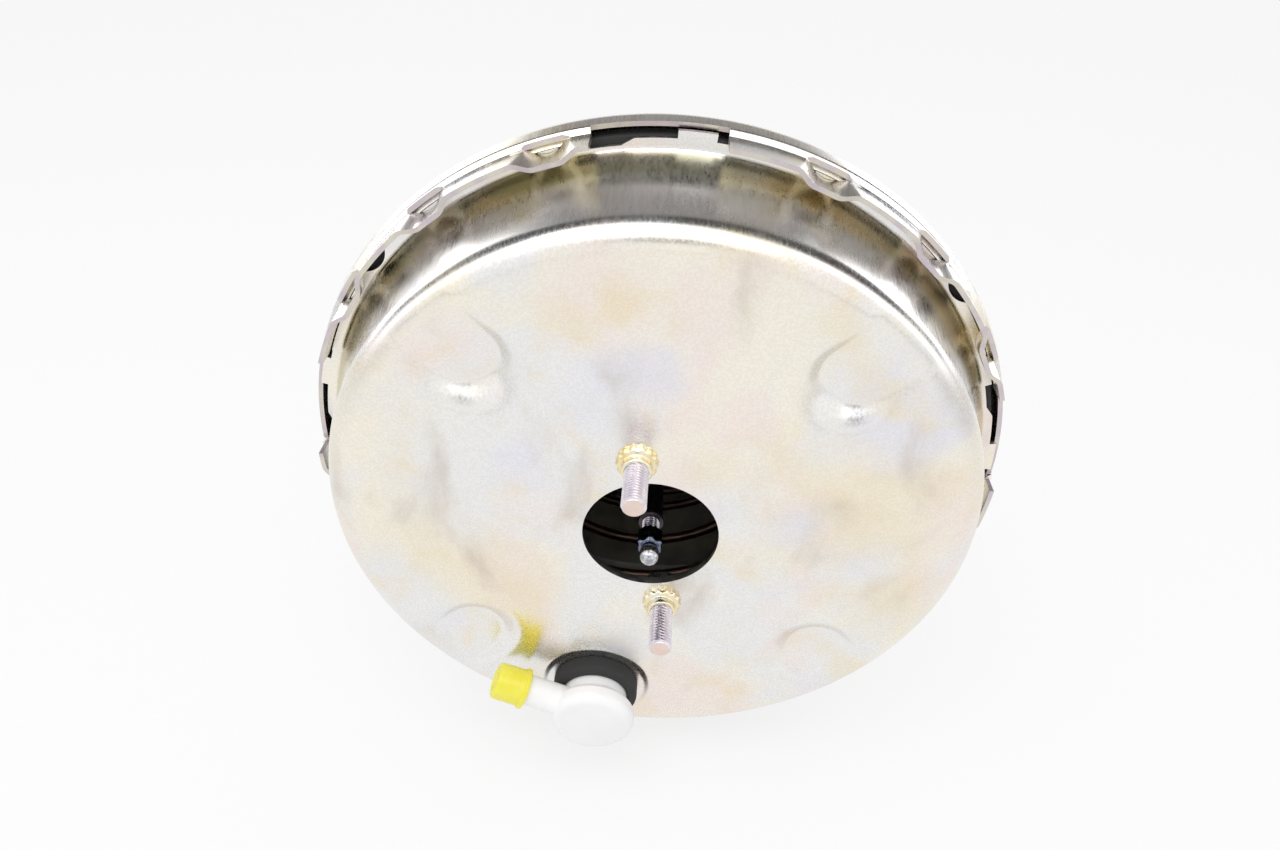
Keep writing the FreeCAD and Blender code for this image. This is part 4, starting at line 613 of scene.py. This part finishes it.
def spoke_angles(places, count=720):
    """Even angles round the booster with extra ones at given offsets from given clocks."""
    angles = set(np.round(np.linspace(0, 2 * math.pi, count, endpoint=False), 7))
    for clocks, offsets in places:
        for clock in clocks:
            for offset in offsets:
                angles.add(round((math.radians(clock) - offset / SKIRT_RADIUS) % (2 * math.pi), 7))
    return np.array(sorted(angles))


def front_shell():
    angles = spoke_angles([(WINDOW_CLOCKS, [place for place, radius in FLANGE_STEPS])])
    face = bend([(0, FACE), (FACE_FLAT_RADIUS, FACE, FACE_BEND), (CUP_RADIUS, CORNER_PLANE, CORNER_BEND),
                 (CUP_ROOT_RADIUS, FLARE_START, ROOT_BEND), (FLARE_END - 0.9, FLANGE_FRONT, FLARE_BEND),
                 (FLANGE_RADIUS, FLANGE_FRONT)], steps=14)
    outline = resample(face, 0.8)
    outline = outline[outline[:, 0] > PILOT_RADIUS]
    # Fewer rows where the face is flat and where the wall is straight
    order = np.arange(len(outline))
    outline = np.vstack([[PILOT_RADIUS, FACE], outline[(outline[:, 0] > 62) | (order % 3 == 0)]])
    wall = (outline[:, 1] > -88) & (outline[:, 1] < -78)
    outline = outline[~wall | (np.arange(len(outline)) % 5 == 0)]
    edge = flange_edge(angles)
    rows = []
    for r, y in outline:
        around = r
        if r > FLARE_END:
            around = FLARE_END + (r - FLARE_END) / (FLANGE_RADIUS - FLARE_END) * (edge - FLARE_END)
        row = ring(around, y, angles)
        if y < CORNER_PLANE + 7:
            row[:, 1] = pressed_face(row[:, 0], row[:, 2], row[:, 1])
        rows.append(row)
    shell = mesh_piece("front_pressing", np.concatenate(rows), grid_faces(len(rows), len(angles)),
                       finish("chromate_sheet"))
    thicken(shell)
    carry(shell, "housing", "zinc_steel", "front_shell")


def lance_clocks():
    """Clocks of the lances that no window has cut away."""
    return [c for c in np.arange(LANCE_FIRST, 360, LANCE_PITCH)
            if min(abs((c - w + 180) % 360 - 180) for w in WINDOW_CLOCKS) > LANCE_PITCH / 2 + 1]


def lance_inset(angles, lances, to_edge):
    """How far the skirt's free strip is pressed in, round the booster; to_edge is 1 at the free edge."""
    inset = np.zeros(len(angles))
    half = LANCE_SLIT_HALF + (LANCE_EDGE_HALF - LANCE_SLIT_HALF) * to_edge
    for clock in lances:
        offset = np.abs(window_offset(angles, clock))
        share = np.clip((half - offset) / (0.62 * half), 0, 1)
        arc = np.clip(1 - (offset / half) ** 2, 0, 1)
        inset = np.maximum(inset, LANCE_INSET * (arc + (share * share * (3 - 2 * share) - arc) * to_edge))
    return inset


def rear_shell():
    lances = lance_clocks()
    angles = spoke_angles([(lances, (-LANCE_SLIT_HALF, -5.8, -5, -2.4, 0, 2.4, 5, 5.8, LANCE_SLIT_HALF)),
                           (WINDOW_CLOCKS, (-WINDOW_HALF, WINDOW_HALF))])
    slit = FLANGE_FRONT - 0.3
    window_rear = SKIRT_EDGE + WINDOW_DEPTH
    path = bend([(26, NECK_END), (26, 0, 2.6), (64, 0, 6), (72, -13, 6), (118.8, -17.5, 15),
                 (120.3, -48.0, 2.2), (RIM_RADIUS + 0.35, -49.5, 4.5), (126.7, -57.9, 1.6),
                 (SKIRT_RADIUS, slit + 0.3, 1.6), (SKIRT_RADIUS, slit)], steps=9)
    before = [point for point in path if point[1] > window_rear]
    after = [point for point in path if point[1] <= window_rear]
    share = (before[-1][1] - window_rear) / (before[-1][1] - after[0][1])
    body = resample(np.array([*before, before[-1] + share * (after[0] - before[-1]), *after]), 4)
    strip = resample(np.array([(SKIRT_RADIUS, slit), (SKIRT_RADIUS, SKIRT_EDGE)]), 1.3)
    fixed = [ring(r, y, angles) for r, y in body]
    free = [ring(r - lance_inset(angles, lances, (slit - y) / (slit - SKIRT_EDGE)), y, angles)
            for r, y in strip]
    columns = len(angles)
    points = np.concatenate(fixed + free)
    first_free = len(fixed) * columns
    faces = grid_faces(len(fixed), columns)
    faces += [tuple(first_free + i for i in face) for face in grid_faces(len(free), columns)]
    in_window = np.zeros(columns, bool)
    middles = angles + (np.roll(angles, -1) - angles) % (2 * math.pi) / 2
    for clock in WINDOW_CLOCKS:
        in_window |= np.abs(window_offset(middles, clock)) < WINDOW_HALF
    kept = [face for face in faces if not in_window[face[0] % columns]
            or sum(points[i][1] for i in face) / 4 >= window_rear]
    shell = mesh_piece("rear_pressing", points, kept, finish("chromate_rear"))
    thicken(shell)
    carry(shell, "housing", "zinc_steel", "rear_shell")


# Fasteners and rods

def stud_outline(tip, seat, head_end):
    """A headed stud along Y, from its tip past its seat to the end of its head."""
    way = 1 if seat > tip else -1
    neck_end = seat + way * STUD_NECK
    return [(0, tip), (STUD_RADIUS - STUD_CHAMFER, tip), (STUD_RADIUS, tip + way * STUD_CHAMFER),
            (STUD_RADIUS, seat), (STUD_NECK_RADIUS, seat), (STUD_NECK_RADIUS, neck_end),
            (STUD_HEAD_RADIUS, neck_end), (STUD_HEAD_RADIUS, head_end), (0, head_end)]


def front_studs():
    low, high = span("master_cylinder_studs")

    def staked(angles, radius, y):
        """Serrations around the widest part of the staked collar."""
        teeth = 0.32 * np.cos(14 * angles) if radius > 5.4 else 0
        return radius + teeth * (radius - 5.4) / 1.3

    outline = stud_outline(low[1], FACE, high[1])
    collar = bend([(4.06, FACE), (6.2, FACE), (6.75, FACE - 0.8, 0.3), (6.3, FACE - 2.0, 0.6),
                   (5.0, FACE - 2.6, 0.5), (4.95, FACE - 3.0, 0.3), (5.0, FACE - 5.3, 0.5),
                   (4.06, FACE - 5.4)], closed=True, steps=4)
    parts, collars = [], []
    for side in (0, 180):
        at = polar(STUD_SPACING / 2, STUD_CLOCK + side)
        parts.append(threaded(f"stud_{side}", outline, low[1], FACE - 3.2, STUD_PITCH,
                              finish("stud_zinc"), at))
        collars.append(lathe(f"collar_{side}", collar, finish("gold_chromate"), 84, True, staked, at))
    studs = join("threaded_studs", parts)
    studs.data.materials.append(finish("stud_tip"))
    for face in studs.data.polygons:
        if face.center.y < (low[1] + 0.02) * MM:
            face.material_index = 1
    carry(studs, "housing", "stud_steel", "master_cylinder_studs")
    carry(join("staked_collars", collars), "housing", "gold_zinc", "stud_collars")


def rear_studs():
    low, high = span("firewall_studs")
    outline = stud_outline(high[1], 0, low[1])[::-1]
    parts = [threaded(f"rear_stud_{x}_{z}", outline, 3.0, high[1], STUD_PITCH,
                      finish("gold_chromate"), (x, z)) for x in (-40, 40) for z in (-30, 30)]
    carry(join("rear_threaded_studs", parts), "housing", "gold_zinc", "firewall_studs")


def push_rod():
    low, high = span("adjuster_screw")

    def hexagon(angles, radius, y):
        """Six flats with the corners turned off towards both ends."""
        if radius < HEX_FLATS / 2 + 0.01:
            return radius
        sixth = (angles + math.pi / 6) % (math.pi / 3) - math.pi / 6
        return np.minimum(radius, HEX_FLATS / 2 / np.cos(sixth))

    corner = HEX_FLATS / 2 / math.cos(math.pi / 6)
    head = lathe("adjuster_head", [(2.2, HEX_REAR), (3.9, HEX_REAR), (corner, HEX_REAR - 0.55),
                                   (corner, HEX_FRONT + 0.75), (3.75, HEX_FRONT), (2.2, HEX_FRONT)],
                 finish("blued_steel"), 96, True, hexagon, sharp=25)
    dome = bend([(2.2, HEX_FRONT - 0.3), (2.6, HEX_FRONT - 0.4), (3.2, HEX_FRONT - 1.6, 0.5),
                 (3.2, low[1], 3.1), (0, low[1])], steps=12)
    tip = lathe("adjuster_tip", np.vstack([dome, [0, HEX_FRONT - 0.3]]), finish("polished_tip"), 64)
    shank = [(0, HEX_REAR), (2.95, HEX_REAR), (2.95, high[1] - 1), (2.4, high[1]), (0, high[1])]
    screw = threaded("adjuster_thread", shank, HEX_REAR, high[1], 1.0, finish("stud_zinc"))
    carry(join("adjuster_thread", [screw, head, tip], 40), "power_piston", "blued_steel", "adjuster_screw")

    low, high = span("output_rod")
    front, rear = low[1], high[1]
    outline = bend([(3.02, front), (4.3, front), (4.6, front + 0.5, 0.3), (4.5, front + 1.3),
                    (3.9, front + 1.5), (3.9, rear - 3.2, 1.2), (10.6, rear - 2.6, 0.5), (10.6, rear),
                    (0, rear), (0, front + 16), (3.02, front + 16)], closed=True, steps=4)
    rod = lathe("push_rod", outline, finish("dark_phosphate"), 64, True)
    carry(rod, "power_piston", "dark_steel", "output_rod")


def input_rod():
    low, high = span("input_rod")
    outline = bend([(0, low[1]), (4.6, low[1], 4.4), (4.6, -12.4, 2), (3.1, -10.4, 1), (3.1, 11, 2),
                    (4.5, 12), (4.5, 20), (9.2, 20, 0.3), (9.2, 21.6, 0.3), (4.5, 21.6), (4.5, 60),
                    (5.0, 60.5), (5.0, high[1] - 1), (4.0, high[1]), (0, high[1])], steps=6)
    rod = threaded("pedal_rod", outline, 60.5, high[1], 1.5, finish("gold_chromate"))
    carry(rod, "push_rod", "gold_zinc", "input_rod")


# Springs and rubber

def springs():
    low, high = span("return_spring")
    main = coil("main_spring", 46.3, 2.0, low[1], high[1], 5)
    carry(main, "housing", "spring_steel", "return_spring")
    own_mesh(main)
    for node, mean, wire, joint, stroke in (
            ("rod_return_spring", 8.2, 0.7, "control_stroke", 2.0),
            ("poppet_spring", 11.0, 0.5, "control_stroke", 0.5)):
        low, high = span(node)
        small = coil(node + "_wire", mean, wire, low[1], high[1] - 0.4, 4)
        carry(small, "power_piston", "spring_steel", node)
        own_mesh(small)
    low, high = span("check_valve_spring")
    small = coil("check_spring_wire", 5.2, 0.4, low[1], high[1], 5, (VALVE_X, VALVE_Z))
    carry(small, "check_valve", "spring_steel", "check_valve_spring")
    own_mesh(small)


def diaphragm():
    low, high = span("diaphragm")
    bead_front, outer = low[1], high[0]
    ribs = []
    for i in range(3):
        y = bead_front + 0.9 + 1.7 * i
        ribs += [(outer, y, 0.35), (outer - 0.7, y + 0.85, 0.35)]
    outline = bend([(18.95, -19.8), (102.4, -19.8, 4), (112.2, -29.2, 6), (112.2, bead_front),
                    (outer - 0.4, bead_front)]
                   + ribs + [(outer - 0.2, bead_front + 6.2), (114.2, bead_front + 6.2, 1), (114.2, -30.4, 6),
                             (102.6, -17.9, 4), (24, -17.9, 0.8), (24, -13.8, 0.8), (18.95, -13.8)],
                   closed=True, steps=4)
    rubber = lathe("rolling_diaphragm", outline, finish("black_rubber"), 256, True)
    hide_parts("diaphragm")
    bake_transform(rubber)


def boot():
    low, high = span("dust_boot")
    front, rear, outer = low[1], high[1], high[0]
    folds = []
    for i in range(4):
        y = NECK_END + 5 + 7.6 * i
        folds += [(outer - 0.6, y, 1.4), (outer - 6.4, y + 3.8, 1.2)]
    outside = [(outer - 0.3, front, 0.5), (outer - 0.3, front + 5, 1), (outer - 1.4, front + 6, 0.5),
               (outer - 1.4, NECK_END + 1.5, 1)]
    outside += folds + [(outer - 7.2, rear - 10.5, 2), (9.6, rear - 5.2, 2), (9.2, rear, 0.5)]
    inside = [(7.9, rear), (7.9, rear - 4.2, 1.5), (outer - 9.0, rear - 9.8, 2)]
    inside += [(r - 1.5, y, 1.0) for r, y, bend_radius in reversed(folds)]
    inside += [(outer - 2.6, NECK_END + 1.5, 1), (outer - 2.6, front)]
    rubber = lathe("bellows_boot", bend(outside + inside, closed=True, steps=5), finish("black_rubber"),
                   96, True)
    carry(rubber, "housing", "black_rubber", "dust_boot")
    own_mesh(rubber)


# The check valve

def grommet():
    pad = PAD_PLANE
    outline = bend([(9.95, pad + 5.5, 0.4), (9.95, pad - 2, 0.3), (12.75, pad - 2, 0.3),
                    (12.75, pad - 6.7, 0.8), (14.2, pad - 7.0, 0.8), (16.7, pad - 5.9, 1.6),
                    (16.7, pad - 0.05, 0.5), (13.95, pad - 0.05), (13.95, pad + 1.65),
                    (16.0, pad + 1.65, 0.6), (15.0, pad + 5.5, 0.6)], closed=True, steps=6)
    ring = lathe("rubber_grommet", outline, finish("black_rubber"), 128, True, at=(VALVE_X, VALVE_Z))
    carry(ring, "housing", "black_rubber", "valve_grommet")


def along_port(name, outline, material, closed=True):
    """A piece turned about the hose port's axis; outline heights run out from the valve's axis."""
    piece = lathe(name, outline, material, 72, closed)
    turn = Matrix.Rotation(math.radians(90 - PORT_CLOCK), 4, "Y")
    turn = turn @ Matrix.Rotation(math.radians(90), 4, "X")
    place = Matrix.Translation(Vector((VALVE_X, PAD_PLANE - PORT_HEIGHT, VALVE_Z)) * MM)
    piece.data.transform(place @ turn)
    return piece


def check_valve():
    pad = PAD_PLANE
    at = (VALVE_X, VALVE_Z)
    split = pad - 7.4
    head = bend([(0, pad - 20), (16.2, pad - 20, 3.4), (16.2, pad - 13.4, 2.2), (12.7, pad - 11.0, 2.4),
                 (12.7, split), (8.0, split), (8.0, pad - 17.5), (0, pad - 17.5)], steps=8)
    cover = lathe("valve_body_white", head, finish("white_nylon"), 128, at=at)
    hose_end = bend([(0, 9.0), (5.8, 9.0), (5.8, 38.9, 0.6), (3.4, 38.9), (3.4, 12), (0, 12)], steps=4)
    unite(cover, along_port("valve_port", hose_end, finish("white_nylon"), False))
    carry(cover, "check_valve", "white_plastic", "check_valve_cover")
    cap = along_port("yellow_cap", bend([
        (5.85, 28.0), (7.6, 28.0, 0.4), (7.75, 29.4, 0.5), (6.95, 29.9, 0.5), (6.85, 40.4, 1.3),
        (4.6, 40.5, 0.4), (4.2, 39.9, 0.3), (1.6, 39.9, 0.3), (1.3, 40.45, 0.3), (0, 40.45),
        (0, 39.2), (5.85, 39.2)], closed=True, steps=5), finish("yellow_cap"))
    carry(cap, "valve_cap", "yellow_plastic", "port_cap")


INNER_FINISHES = {
    "front_reinforcement": "bare_steel", "rear_reinforcement": "bare_steel", "diaphragm_plate": "bare_steel",
    "valve_body": "phenolic", "reaction_disc": "black_rubber", "output_rod_retainer": "bare_steel",
    "plunger": "bare_steel", "plunger_key": "bare_steel", "poppet_valve": "black_rubber",
    "poppet_retainer": "bare_steel", "air_filter": "grey_foam", "silencer_felt": "pressed_felt",
    "filter_retainer": "phenolic", "neck_seal": "black_rubber", "seal_retainer": "phenolic",
    "lock_nut": "gold_chromate", "clevis": "gold_chromate", "check_valve_stem": "white_nylon",
    "check_valve_disc": "black_rubber",
}


def inner_pieces():
    """Give each CAD node that stays its own finish."""
    for node, material in INNER_FINISHES.items():
        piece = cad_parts[node]
        piece.data.materials.clear()
        piece.data.materials.append(finish(material))


# Studio

def floor_material():
    """White paper that keeps the object's shadow and looks white in reflections."""
    material = bpy.data.materials.new("studio_paper")
    nodes = Nodes(material)
    nodes.tree.nodes.clear()
    seen, mirrored = nodes.light_paths()
    paper = nodes.feed(nodes.add("ShaderNodeBsdfDiffuse"), {"Color": (0.86, 0.86, 0.87)})
    # Light falls off to the sides of the studio, which the metal mirrors
    side = nodes.math("ABSOLUTE", nodes.split(nodes.add("ShaderNodeTexCoord").outputs["Object"])["X"])
    fall = nodes.spread(side, 0.3, 1.6, 0, 0.3, "LINEAR")
    tone = nodes.mix(nodes.math("MULTIPLY", fall, mirrored), (1, 1, 1), (0, 0, 0))
    glow = nodes.feed(nodes.add("ShaderNodeEmission"), {"Color": tone})
    nodes.surface("ShaderNodeOutputMaterial", nodes.math("MULTIPLY", seen, 0.72), paper, glow)
    return material


def studio_world(brightness):
    """Even soft light and a white background; mirrored rays see lamps, screens and a darker room."""
    world = bpy.data.worlds.new("studio")
    bpy.context.scene.world = world
    nodes = Nodes(world)
    nodes.tree.nodes.clear()
    seen, mirrored = nodes.light_paths()
    place = nodes.add("ShaderNodeTexCoord").outputs["Generated"]
    x, y, z = nodes.split(place)
    wide = nodes.math("ABSOLUTE", x)
    toward = nodes.add("ShaderNodeVectorMath", operation="DOT_PRODUCT")
    nodes.feed(toward, {0: place, 1: (0.0, -0.834, 0.552)})
    aside, raised = nodes.spread(wide, 0.40, 0.60), nodes.spread(z, 0.02, 0.12)
    behind, above = nodes.spread(y, 0.03, 0.12), nodes.spread(z, 0.28, 0.38)
    zones = (
        # Bright screens behind at both sides, lamps beside the object and the gap between them
        ((3.0, 3.0, 3.05), nodes.spread(wide, 0.34, 0.50), nodes.spread(y, 0.25, 0.45),
         nodes.spread(z, 0.40, 0.25)),
        ((1.7, 1.7, 1.7), aside, raised, nodes.between(y, -0.40, -0.20, 0.06, 0.14)),
        ((0.14, 0.14, 0.15), aside, raised, nodes.between(y, 0.10, 0.18, 0.42, 0.52)),
        # The room behind and its dark ceiling
        ((0.27, 0.26, 0.255), behind, above, nodes.spread(x, -0.60, -0.35)),
        ((0.05, 0.05, 0.052), behind, above, nodes.spread(y, 0.72, 0.56)),
        # The camera and its stand, straight in front of the object
        ((0.38, 0.38, 0.39), nodes.spread(toward.outputs["Value"], 0.965, 0.99)),
    )
    room = (1, 1, 1)
    for tone, *limits in zones:
        share = mirrored
        for limit in limits:
            share = nodes.math("MULTIPLY", share, limit)
        room = nodes.mix(share, room, tone)
    light, view = (nodes.feed(nodes.add("ShaderNodeBackground"), {"Color": colour, "Strength": strength})
                   for colour, strength in (((1, 1, 1), brightness), (room, 1.0)))
    nodes.surface("ShaderNodeOutputWorld", seen, light, view)


def soft_lamp(name, place, aim, size, energy):
    lamp = bpy.data.lights.new(name, "AREA")
    lamp.shape = "RECTANGLE"
    lamp.size, lamp.size_y = size
    lamp.energy = energy
    holder = bpy.data.objects.new(name, lamp)
    holder.location = place
    holder.rotation_euler = (Vector(aim) - Vector(place)).to_track_quat("-Z", "Y").to_euler()
    bpy.context.scene.collection.objects.link(holder)


FLOOR_HALF, FLOOR_GAP = 4000, 0.4
SENSOR_WIDTH, PICTURE_WIDTH = 36, 1280


def stage():
    studio = bpy.context.scene.booster_studio
    height = cad_box[0][2] / MM - FLOOR_GAP
    corners = [(sx * FLOOR_HALF, sy * FLOOR_HALF, height)
               for sx, sy in ((-1, -1), (1, -1), (1, 1), (-1, 1))]
    floor = mesh_piece("floor", corners, [(0, 1, 2, 3)], floor_material())
    studio_world(studio.room_light)
    soft_lamp("overhead", (-0.1, -0.45, 0.9), (0, -0.12, 0), (1.2, 0.7), studio.lamp_power)
    camera = bpy.data.cameras.new("camera")
    camera.sensor_width = SENSOR_WIDTH
    camera.lens = SENSOR_WIDTH * studio.focal_pixels / PICTURE_WIDTH
    camera.clip_start = 0.01
    holder = bpy.data.objects.new("camera", camera)
    place, aim = Vector(studio.camera_place), Vector(studio.camera_aim)
    back = (place - aim).normalized()
    right = Vector((-math.sin(studio.camera_roll), 0, math.cos(studio.camera_roll))).cross(back).normalized()
    up = back.cross(right)
    turn = Matrix((right, up, back)).transposed()
    holder.matrix_world = Matrix.Translation(place) @ turn.to_4x4()
    bpy.context.scene.collection.objects.link(holder)
    bpy.context.scene.camera = holder
    bpy.context.scene.view_settings.view_transform = "Standard"


# The add-on

def tint(label, text, value):
    return FloatVectorProperty(name=label, description=text, subtype="COLOR", size=3, min=0, max=1,
                               default=value)


class BoosterColours(bpy.types.PropertyGroup):
    """Tints of the chromate film on the pressed shells."""
    silver: tint("Silver", "Bare zinc between the clouds of the film", (0.87, 0.87, 0.87))
    cream: tint("Cream", "The film's main tint", (0.93, 0.89, 0.78))
    pink: tint("Pink", "Pink clouds of the film", (0.92, 0.81, 0.78))
    lilac: tint("Lilac", "Blue and lilac clouds of the film", (0.80, 0.80, 0.88))
    straw: tint("Straw", "Straw-coloured stains", (0.88, 0.77, 0.55))
    olive: tint("Olive", "The thicker film at the flare", (0.52, 0.50, 0.31))
    gold: tint("Gold", "Golden patches of the thicker film", (0.72, 0.60, 0.36))
    rust: tint("Brown", "Faint brown veins in the film", (0.58, 0.50, 0.42))


class BoosterStudio(bpy.types.PropertyGroup):
    """Light and camera."""
    room_light: FloatProperty(name="Room light", description="Strength of the even light",
                              default=0.85, min=0)
    lamp_power: FloatProperty(name="Lamp power", description="Power of the overhead softbox",
                              default=4.0, min=0, unit="POWER")
    focal_pixels: FloatProperty(name="Focal length", default=900.41, min=100,
                                description="Focal length in pixels of the 1280 wide frame")
    camera_place: FloatVectorProperty(name="Camera place", description="Where the camera stands", size=3,
                                      subtype="TRANSLATION", unit="LENGTH",
                                      default=(0.00048, -0.3242, 0.2145))
    camera_aim: FloatVectorProperty(name="Camera aim", description="The point the camera looks at", size=3,
                                    subtype="TRANSLATION", unit="LENGTH",
                                    default=(-0.0051, -0.098, 0.0446))
    camera_roll: FloatProperty(name="Camera roll", description="Roll of the camera about its line of sight",
                               subtype="ANGLE", default=0.0324)


class BOOSTER_OT_shells(bpy.types.Operator):
    """Build the front and rear pressings"""
    bl_idname = "booster.shells"
    bl_label = "Pressed shells"

    def execute(self, context):
        front_shell()
        rear_shell()
        return {"FINISHED"}


class BOOSTER_OT_studs(bpy.types.Operator):
    """Build the threaded studs and their staked collars"""
    bl_idname = "booster.studs"
    bl_label = "Studs"

    def execute(self, context):
        front_studs()
        rear_studs()
        return {"FINISHED"}


class BOOSTER_OT_rods(bpy.types.Operator):
    """Build the push rod with its adjuster, and the pedal rod"""
    bl_idname = "booster.rods"
    bl_label = "Rods"

    def execute(self, context):
        push_rod()
        input_rod()
        return {"FINISHED"}


class BOOSTER_OT_springs(bpy.types.Operator):
    """Wind the springs"""
    bl_idname = "booster.springs"
    bl_label = "Springs"

    def execute(self, context):
        springs()
        return {"FINISHED"}


class BOOSTER_OT_rubber(bpy.types.Operator):
    """Mould the diaphragm, the boot and the grommet"""
    bl_idname = "booster.rubber"
    bl_label = "Rubber"

    def execute(self, context):
        diaphragm()
        boot()
        grommet()
        return {"FINISHED"}


class BOOSTER_OT_check_valve(bpy.types.Operator):
    """Build the check valve and its cap"""
    bl_idname = "booster.check_valve"
    bl_label = "Check valve"

    def execute(self, context):
        check_valve()
        return {"FINISHED"}


class BOOSTER_OT_inner_pieces(bpy.types.Operator):
    """Finish the pieces whose shape comes from the CAD frame"""
    bl_idname = "booster.inner_pieces"
    bl_label = "Inner pieces"

    def execute(self, context):
        inner_pieces()
        return {"FINISHED"}


class BOOSTER_OT_stage(bpy.types.Operator):
    """Set the floor, the light and the camera"""
    bl_idname = "booster.stage"
    bl_label = "Stage"

    def execute(self, context):
        stage()
        return {"FINISHED"}


STEPS = (BOOSTER_OT_shells, BOOSTER_OT_studs, BOOSTER_OT_rods, BOOSTER_OT_springs, BOOSTER_OT_rubber,
         BOOSTER_OT_check_valve, BOOSTER_OT_inner_pieces, BOOSTER_OT_stage)


class BOOSTER_PT_panel(bpy.types.Panel):
    """The booster's steps and settings"""
    bl_label = "Brake booster"
    bl_space_type = "VIEW_3D"
    bl_region_type = "UI"
    bl_category = "Booster"

    def draw(self, context):
        for group in (context.scene.booster_colours, context.scene.booster_studio):
            for key in group.__annotations__:
                self.layout.prop(group, key)
        for step in STEPS:
            self.layout.operator(step.bl_idname)


CLASSES = (BoosterColours, BoosterStudio, *STEPS, BOOSTER_PT_panel)


def register():
    for entry in CLASSES:
        bpy.utils.register_class(entry)
    bpy.types.Scene.booster_colours = PointerProperty(type=BoosterColours)
    bpy.types.Scene.booster_studio = PointerProperty(type=BoosterStudio)


def unregister():
    del bpy.types.Scene.booster_colours
    del bpy.types.Scene.booster_studio
    for entry in reversed(CLASSES):
        bpy.utils.unregister_class(entry)


def main():
    register()
    bpy.ops.booster.shells()
    bpy.ops.booster.studs()
    bpy.ops.booster.rods()
    bpy.ops.booster.springs()
    bpy.ops.booster.rubber()
    bpy.ops.booster.check_valve()
    bpy.ops.booster.inner_pieces()
    bpy.ops.booster.stage()
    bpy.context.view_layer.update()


if __name__ == "__main__":
    main()
